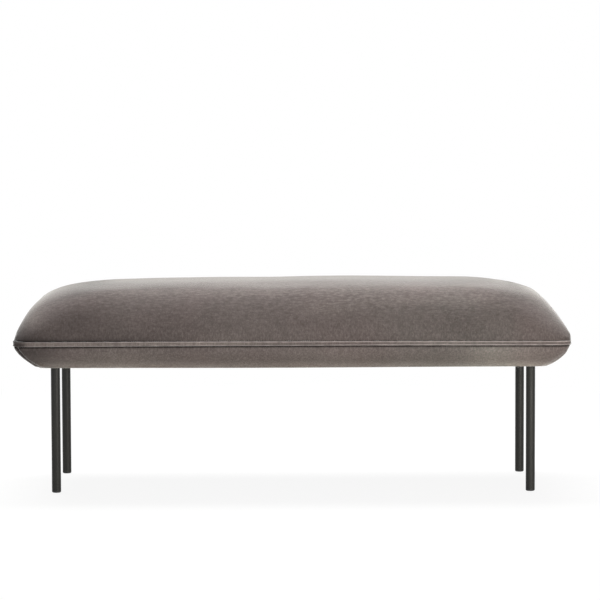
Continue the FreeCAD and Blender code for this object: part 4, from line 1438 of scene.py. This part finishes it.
class BENCH_OT_fillings(bpy.types.Operator):
    """Cuts the foam, lays the wrap over it and pads the bevelled edge"""

    bl_idname = "bench.fillings"
    bl_label = "Fillings"

    def execute(self, context):
        grid = rim_columns(*FILLING_GRID), crown_insets(FILLING_RINGS, 1.7)
        wrap = shared(wadding_finish, "fibre_wadding", linear(236, 236, 234), linear(205, 206, 206), 0.003)
        soft = shared(foam_finish, "soft_foam", linear(232, 226, 205), linear(222, 211, 176), 0.0014)
        firm = shared(foam_finish, "firm_foam", linear(206, 208, 214), linear(188, 190, 196), 0.0010)
        felt = shared(wadding_finish, "grey_felt", linear(126, 122, 118), linear(84, 82, 80), 0.0016)
        under = COVER_THICKNESS
        layer = self.shell("wrap_layer", grid, under, WRAP_THICKNESS, wrap, "polyester_wrap", "fibre_wrap")
        swell_out(layer, context.scene.bench_cover)
        under += WRAP_THICKNESS
        self.shell("topper_layer", grid, under, TOPPER_THICKNESS, soft, "foam_soft", "foam_topper")
        self.core(grid, under + TOPPER_THICKNESS + LAYER_EASE, firm)
        self.padding(grid[0], felt)
        return {"FINISHED"}

    def shell(self, name, grid, under, thickness, material, slot, node):
        """One closed layer of even thickness between two depths under the cover's face."""
        outside = bare_layer(*grid, under + LAYER_EASE)
        inside = bare_layer(*grid, under + thickness - LAYER_EASE)
        layer = ring_piece(name, outside + inside[::-1], material, closed_profile=True)
        hand_in(layer, slot, node)
        return layer

    def core(self, grid, under, material):
        """Firm foam with a flat foot on the frame boards, and a relief over the webbing."""
        columns = grid[0]
        relief = HALF_LENGTH - (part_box("webbing_long")[1].x + 0.004)
        base = [
            ring_at(columns, HALF_DEPTH, 0.0, WEBBING_TOP + LAYER_EASE),
            ring_at(columns, relief + 0.001, CARCASS_CORNER, WEBBING_TOP + LAYER_EASE),
            ring_at(columns, relief, CARCASS_CORNER, LOWER_SEAM),
        ]
        core = ring_piece("foam_block", base + bare_layer(*grid, under), material)
        hand_in(core, "foam_firm", "foam_core")

    def padding(self, columns, material):
        """Felt between the bevelled edge of the carcass and the velvet border."""
        shares = np.linspace(0.955, 0.0, 12)
        outside = [border_points(columns, share, COVER_THICKNESS + LAYER_EASE) for share in shares]
        slope = BEVEL_RUN / (LOWER_SEAM - UNDERSIDE)
        inside = []
        for level in np.linspace(LOWER_SEAM, CARCASS_FLOOR, 5):
            inset = BEVEL_INSET - LAYER_EASE + slope * (LOWER_SEAM - level)
            inside.append(ring_at(columns, inset, CARCASS_CORNER, level))
        outside[-1][:, 2] = LOWER_SEAM
        outside[0][:, 2] = np.maximum(outside[0][:, 2], CARCASS_FLOOR)
        pad = ring_piece("edge_padding", outside + inside, material, closed_profile=True)
        hand_in(pad, "felt", "border_padding")


# Dust cover, staples and welds

DUST_CORNER = 0.010
DUST_SPACING = 0.008
DUST_THICKNESS = 0.0005
DUST_SAG = 0.0016
DUST_RIPPLE = 0.0004
WINDOW_EASE = 0.001
WINDOW_CORNER = 0.006
WINDOW_MARGIN = 0.002
STAPLE_WIRE = 0.0007
WELD_MIDDLE = 0.42
WELD_SIZE = 0.52


def rounded_loop(low, high, radius, steps=6):
    """Points of a rounded rectangle between two plan corners."""
    points = []
    for quarter in range(4):
        right = quarter in (0, 1)
        back = quarter in (1, 2)
        centre = Vector((
            high[0] - radius if right else low[0] + radius,
            high[1] - radius if back else low[1] + radius,
        ))
        for step in range(steps + 1):
            angle = math.radians(90 * quarter - 90 + 90 * step / steps)
            points.append(centre + Vector((math.cos(angle), math.sin(angle))) * radius)
    return points


class BENCH_OT_dust_cover(bpy.types.Operator):
    """Stretches the dust cover under the base board"""

    bl_idname = "bench.dust_cover"
    bl_label = "Dust cover"

    def execute(self, context):
        loops = [rounded_loop(DUST_LOW, DUST_HIGH, DUST_CORNER)]
        windows = []
        ease = Vector((WINDOW_EASE,) * 3)
        for corner in CORNERS:
            low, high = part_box("leg_plate_" + corner)
            windows.append((low - ease, high + ease))
            loops.append(rounded_loop(*windows[-1], WINDOW_CORNER, 4))
        points = []
        edges = []
        for loop in loops:
            edges += loop_edges(len(loop), len(points))
            points += loop
        for x in np.arange(DUST_LOW.x + DUST_SPACING / 2, DUST_HIGH.x, DUST_SPACING):
            for y in np.arange(DUST_LOW.y + DUST_SPACING / 2, DUST_HIGH.y, DUST_SPACING):
                if all(not self.inside(x, y, low, high) for low, high in windows):
                    points.append(Vector((x, y)))
        made = geometry.delaunay_2d_cdt(points, edges, [], 2, 1e-6)
        flat = [(x, y, DUST_LOW.z) for x, y in made[0]]
        faces = [tuple(reversed(face)) for face in made[2]]
        sheet = add_piece("dust_sheet", flat, faces, shared(dust_cloth_finish))
        points, _ = mesh_points(sheet)
        edge = np.minimum(
            np.minimum(points[:, 0] - DUST_LOW.x, DUST_HIGH.x - points[:, 0]),
            np.minimum(points[:, 1] - DUST_LOW.y, DUST_HIGH.y - points[:, 1]),
        )
        sag = DUST_SAG * smooth_step(edge, 0.008, 0.12)
        sag += DUST_RIPPLE * (0.5 + 0.5 * waves(points, 0.05)) * smooth_step(edge, 0.006, 0.02)
        points[:, 2] -= sag
        move_points(sheet, points)
        thicken(sheet, DUST_THICKNESS)
        hand_in(sheet, "dust_cloth", "dust_cover")
        return {"FINISHED"}

    def inside(self, x, y, low, high):
        """Whether a plan point lies in a window or very near its edge."""
        near = WINDOW_MARGIN
        return low[0] - near < x < high[0] + near and low[1] - near < y < high[1] + near


def staple_maker(crown, leg):
    """Tree that puts a bent wire staple on each point, turned by the point's own angle."""
    maker = Maker("staples", Crown=crown, Leg=leg, Wire=STAPLE_WIRE)
    line = maker.out("GeometryNodeMeshLine", {"Count": 4})
    index = maker.out("GeometryNodeInputIndex")
    side = maker.math("SUBTRACT", maker.math("GREATER_THAN", index, 1.5), 0.5)
    centred = maker.math("ABSOLUTE", maker.math("SUBTRACT", index, 1.5))
    at_end = maker.math("GREATER_THAN", centred, 1.0)
    across = maker.math("MULTIPLY", side, maker.size("Crown"))
    upwards = maker.math("MULTIPLY", at_end, maker.size("Leg"))
    place = maker.out("ShaderNodeCombineXYZ", {"X": across, "Z": upwards})
    bent = maker.out("GeometryNodeSetPosition", {"Geometry": line, "Position": place})
    path = maker.out("GeometryNodeMeshToCurve", {"Mesh": bent})
    wire = maker.size("Wire")
    rounded = maker.out("GeometryNodeFilletCurve", {"Curve": path, "Radius": wire, "Count": 3}, mode="POLY")
    half = maker.math("MULTIPLY", wire, 0.5)
    section = maker.out("GeometryNodeCurvePrimitiveCircle", {"Resolution": 6, "Radius": half})
    inputs = {"Curve": rounded, "Profile Curve": section, "Fill Caps": True}
    staple = maker.out("GeometryNodeCurveToMesh", inputs)
    angle = maker.out("GeometryNodeInputNamedAttribute", {"Name": "turn"}, data_type="FLOAT")
    turn = maker.out("ShaderNodeCombineXYZ", {"Z": angle})
    maker.close(maker.size("Geometry"), staple, turn)
    return maker


class BENCH_OT_staples(bpy.types.Operator):
    """Drives the staples of the dust cover, the velvet's turned-in edge and the webbing"""

    bl_idname = "bench.staples"
    bl_label = "Staples"

    def execute(self, context):
        zinc = shared(zinc_finish)
        for node, name, upwards in (
            ("dust_cover_staples", "dust_sheet_staples", 1),
            ("cover_staples", "border_staples", 1),
            ("webbing_staples", "strap_staples", -1),
        ):
            boxes = islands(node)
            size = boxes[0][1] - boxes[0][0]
            crown = max(size[0], size[1]) - STAPLE_WIRE
            leg = size[2] - STAPLE_WIRE
            places = []
            turns = []
            for low, high in boxes:
                across = high - low
                middle = (low + high) / 2
                level = low[2] + STAPLE_WIRE / 2 if upwards > 0 else high[2] - STAPLE_WIRE / 2
                places.append((middle[0], middle[1], level))
                turns.append(0.0 if across[0] > across[1] else math.pi / 2)
            piece = add_points(name, places)
            keep_value(piece, "turn", turns)
            staple_maker(crown, leg * upwards).make(piece, zinc)
            hand_in(piece, "zinc_steel", node)
        return {"FINISHED"}


def weld_maker(radius, size):
    """Tree that runs a rippled weld round each point."""
    maker = Maker("welds", Radius=radius, Size=size)
    circle = "GeometryNodeCurvePrimitiveCircle"
    ring = maker.out(circle, {"Resolution": 144, "Radius": maker.size("Radius")})
    index = maker.out("GeometryNodeInputIndex")
    wave = maker.math("SINE", maker.math("MULTIPLY", index, 2 * math.pi / 6))
    swell = maker.math("ADD", maker.math("MULTIPLY", wave, 0.14), 1.0)
    rippled = maker.out("GeometryNodeSetCurveRadius", {"Curve": ring, "Radius": swell})
    section = maker.out(circle, {"Resolution": 10, "Radius": maker.size("Size")})
    bead = maker.add("GeometryNodeCurveToMesh", {"Curve": rippled, "Profile Curve": section})
    if "Scale" in bead.inputs:
        maker.put(bead.inputs["Scale"], maker.out("GeometryNodeInputRadius"))
    maker.close(maker.size("Geometry"), bead.outputs[0])
    return maker


class BENCH_OT_welds(bpy.types.Operator):
    """Welds each leg to its plate"""

    bl_idname = "bench.welds"
    bl_label = "Welds"

    def execute(self, context):
        coat = shared(powder_coat_finish, context.scene.bench_legs)
        boxes = islands("leg_welds")
        tube_low, tube_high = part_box("leg_tube_front_left")
        tube_radius = (tube_high.x - tube_low.x) / 2
        low, high = boxes[0]
        reach = (high[0] - low[0]) / 2 - tube_radius
        middle = reach * WELD_MIDDLE
        places = [(*((low + high) / 2)[:2], high[2] - middle) for low, high in boxes]
        piece = add_points("weld_beads", places)
        weld_maker(tube_radius + middle, reach * WELD_SIZE).make(piece, coat)
        hand_in(piece, "leg_black", "leg_welds")
        return {"FINISHED"}


# Frame pieces that keep their shape

class BENCH_OT_legs(bpy.types.Operator):
    """Finishes the legs, their plates and the glides"""

    bl_idname = "bench.legs"
    bl_label = "Legs"

    def execute(self, context):
        coat = shared(powder_coat_finish, context.scene.bench_legs)
        nylon = shared(nylon_finish)
        for corner in CORNERS:
            finish_nodes(coat, "leg_tube_" + corner, "leg_plate_" + corner)
            finish_nodes(nylon, "foot_glide_" + corner)
        return {"FINISHED"}


class BENCH_OT_carcass(bpy.types.Operator):
    """Finishes the plywood carcass, its panels, webbing and fasteners"""

    bl_idname = "bench.carcass"
    bl_label = "Carcass"

    def execute(self, context):
        boards = ["base_board", "front_rail", "back_rail", "left_end_rail", "right_end_rail"]
        boards += ["cross_rib_" + name for name in ("left", "middle", "right")]
        boards += ["top_frame_" + side for side in SIDES]
        finish_nodes(shared(plywood_finish), *boards)
        finish_nodes(shared(hardboard_finish), *["bevel_panel_" + side for side in SIDES])
        finish_nodes(shared(webbing_finish), "webbing_long", "webbing_cross")
        fasteners = ("leg_screws", "threaded_inserts", "base_screws", "frame_screws")
        finish_nodes(shared(zinc_finish), *fasteners)
        return {"FINISHED"}


# Stage

FLOOR_REACH = 7.0

# Each lamp's name, place, target, size, power and colour
LAMPS = (
    ("overhead_light", (-0.15, 0.9, 2.6), (0.0, 0.0, 0.40), (2.6, 1.2), 153, (1.0, 1.0, 1.0)),
    ("reflector", (1.0, -1.7, 0.06), (0.3, 0.0, 0.30), (2.2, 0.6), 37, (1.0, 0.95, 0.86)),
    ("right_softbox", (1.6, -2.6, 0.5), (0.4, 0.0, 0.35), (1.6, 0.8), 12, (1.0, 1.0, 1.0)),
    ("left_softbox", (-1.6, -2.6, 0.5), (-0.4, 0.0, 0.35), (1.6, 0.8), 12, (1.0, 1.0, 1.0)),
)


def camera_turn(settings):
    """The camera's turn from its pitch, yaw and roll."""
    pitch, yaw, roll = (math.radians(value) for value in (settings.pitch, settings.yaw, settings.roll))
    forward = Vector((
        math.sin(yaw) * math.cos(pitch),
        math.cos(yaw) * math.cos(pitch),
        -math.sin(pitch),
    ))
    right = Vector((math.cos(yaw), -math.sin(yaw), 0))
    up = right.cross(forward)
    leaned_right = right * math.cos(roll) + up * math.sin(roll)
    leaned_up = up * math.cos(roll) - right * math.sin(roll)
    return Matrix((leaned_right, leaned_up, -forward)).transposed()


def add_lamp(name, place, target, size, power, colour):
    """A soft rectangular light that faces a target."""
    lamp = bpy.data.lights.new(name, "AREA")
    lamp.color = colour
    lamp.shape = "RECTANGLE"
    lamp.size, lamp.size_y = size
    lamp.energy = power
    holder = add_object(name, lamp)
    holder.location = place
    holder.rotation_euler = (Vector(target) - Vector(place)).to_track_quat("-Z", "Y").to_euler()


class BENCH_OT_stage(bpy.types.Operator):
    """Sets up the floor, the light and the camera"""

    bl_idname = "bench.stage"
    bl_label = "Stage"

    def execute(self, context):
        scene = context.scene
        settings = scene.bench_stage
        self.camera(scene, settings)
        self.world(scene, settings)
        self.floor(settings)
        for lamp in LAMPS:
            add_lamp(*lamp)
        scene.view_settings.view_transform = "Standard"
        return {"FINISHED"}

    def camera(self, scene, settings):
        """The camera, with the lens and the place of its settings."""
        lens = bpy.data.cameras.new("camera")
        lens.lens = settings.lens
        lens.sensor_width = 36
        lens.clip_end = 60
        scene.camera = add_object("camera", lens)
        scene.camera.matrix_world = Matrix.Translation(settings.place) @ camera_turn(settings).to_4x4()

    def world(self, scene, settings):
        """Even light from all round, which camera and mirror rays see as white."""
        world = bpy.data.worlds.new("studio")
        world.use_nodes = True
        maker = NodeMaker(world.node_tree)
        strength = maker.between(straight_rays(maker), 0.0, 1.0, settings.ambient, 1.0)
        background = world.node_tree.nodes["Background"]
        maker.put(background.inputs["Color"], (1, 1, 1))
        maker.put(background.inputs["Strength"], strength)
        scene.world = world

    def floor(self, settings):
        """A wide level floor under the legs."""
        points = [(x * FLOOR_REACH, y * FLOOR_REACH, 0) for x, y in ((-1, -1), (1, -1), (1, 1), (-1, 1))]
        floor = add_piece("studio_floor", points, [(0, 1, 2, 3)], floor_finish(settings), smooth=False)


# Panel and registration

STEPS = (
    BENCH_OT_legs,
    BENCH_OT_welds,
    BENCH_OT_carcass,
    BENCH_OT_fillings,
    BENCH_OT_dust_cover,
    BENCH_OT_staples,
    BENCH_OT_cover_top,
    BENCH_OT_seam_band,
    BENCH_OT_borders,
    BENCH_OT_stitches,
    BENCH_OT_stage,
)
SETTINGS = {
    "bench_cover": BenchCoverSettings,
    "bench_seams": BenchSeamSettings,
    "bench_legs": BenchLegSettings,
    "bench_stage": BenchStageSettings,
}


class BENCH_PT_panel(bpy.types.Panel):
    """Lists the bench's settings and steps"""

    bl_idname = "BENCH_PT_panel"
    bl_label = "Bench"
    bl_space_type = "VIEW_3D"
    bl_region_type = "UI"
    bl_category = "Bench"

    def draw(self, context):
        for group in SETTINGS:
            settings = getattr(context.scene, group)
            box = self.layout.box()
            for name in settings.__annotations__:
                box.prop(settings, name)
        for step in STEPS:
            self.layout.operator(step.bl_idname)


def register():
    """Registers the classes and hangs the settings on the scene."""
    for group in SETTINGS.values():
        bpy.utils.register_class(group)
    for step in (*STEPS, BENCH_PT_panel):
        bpy.utils.register_class(step)
    for name, group in SETTINGS.items():
        setattr(bpy.types.Scene, name, PointerProperty(type=group))


def unregister():
    """Takes the settings and the classes away again."""
    for name in SETTINGS:
        delattr(bpy.types.Scene, name)
    for step in (*STEPS, BENCH_PT_panel):
        bpy.utils.unregister_class(step)
    for group in SETTINGS.values():
        bpy.utils.unregister_class(group)


def main():
    """Builds the looks step by step."""
    register()
    for step in STEPS:
        category, name = step.bl_idname.split(".")
        getattr(getattr(bpy.ops, category), name)()


if __name__ == "__main__":
    main()
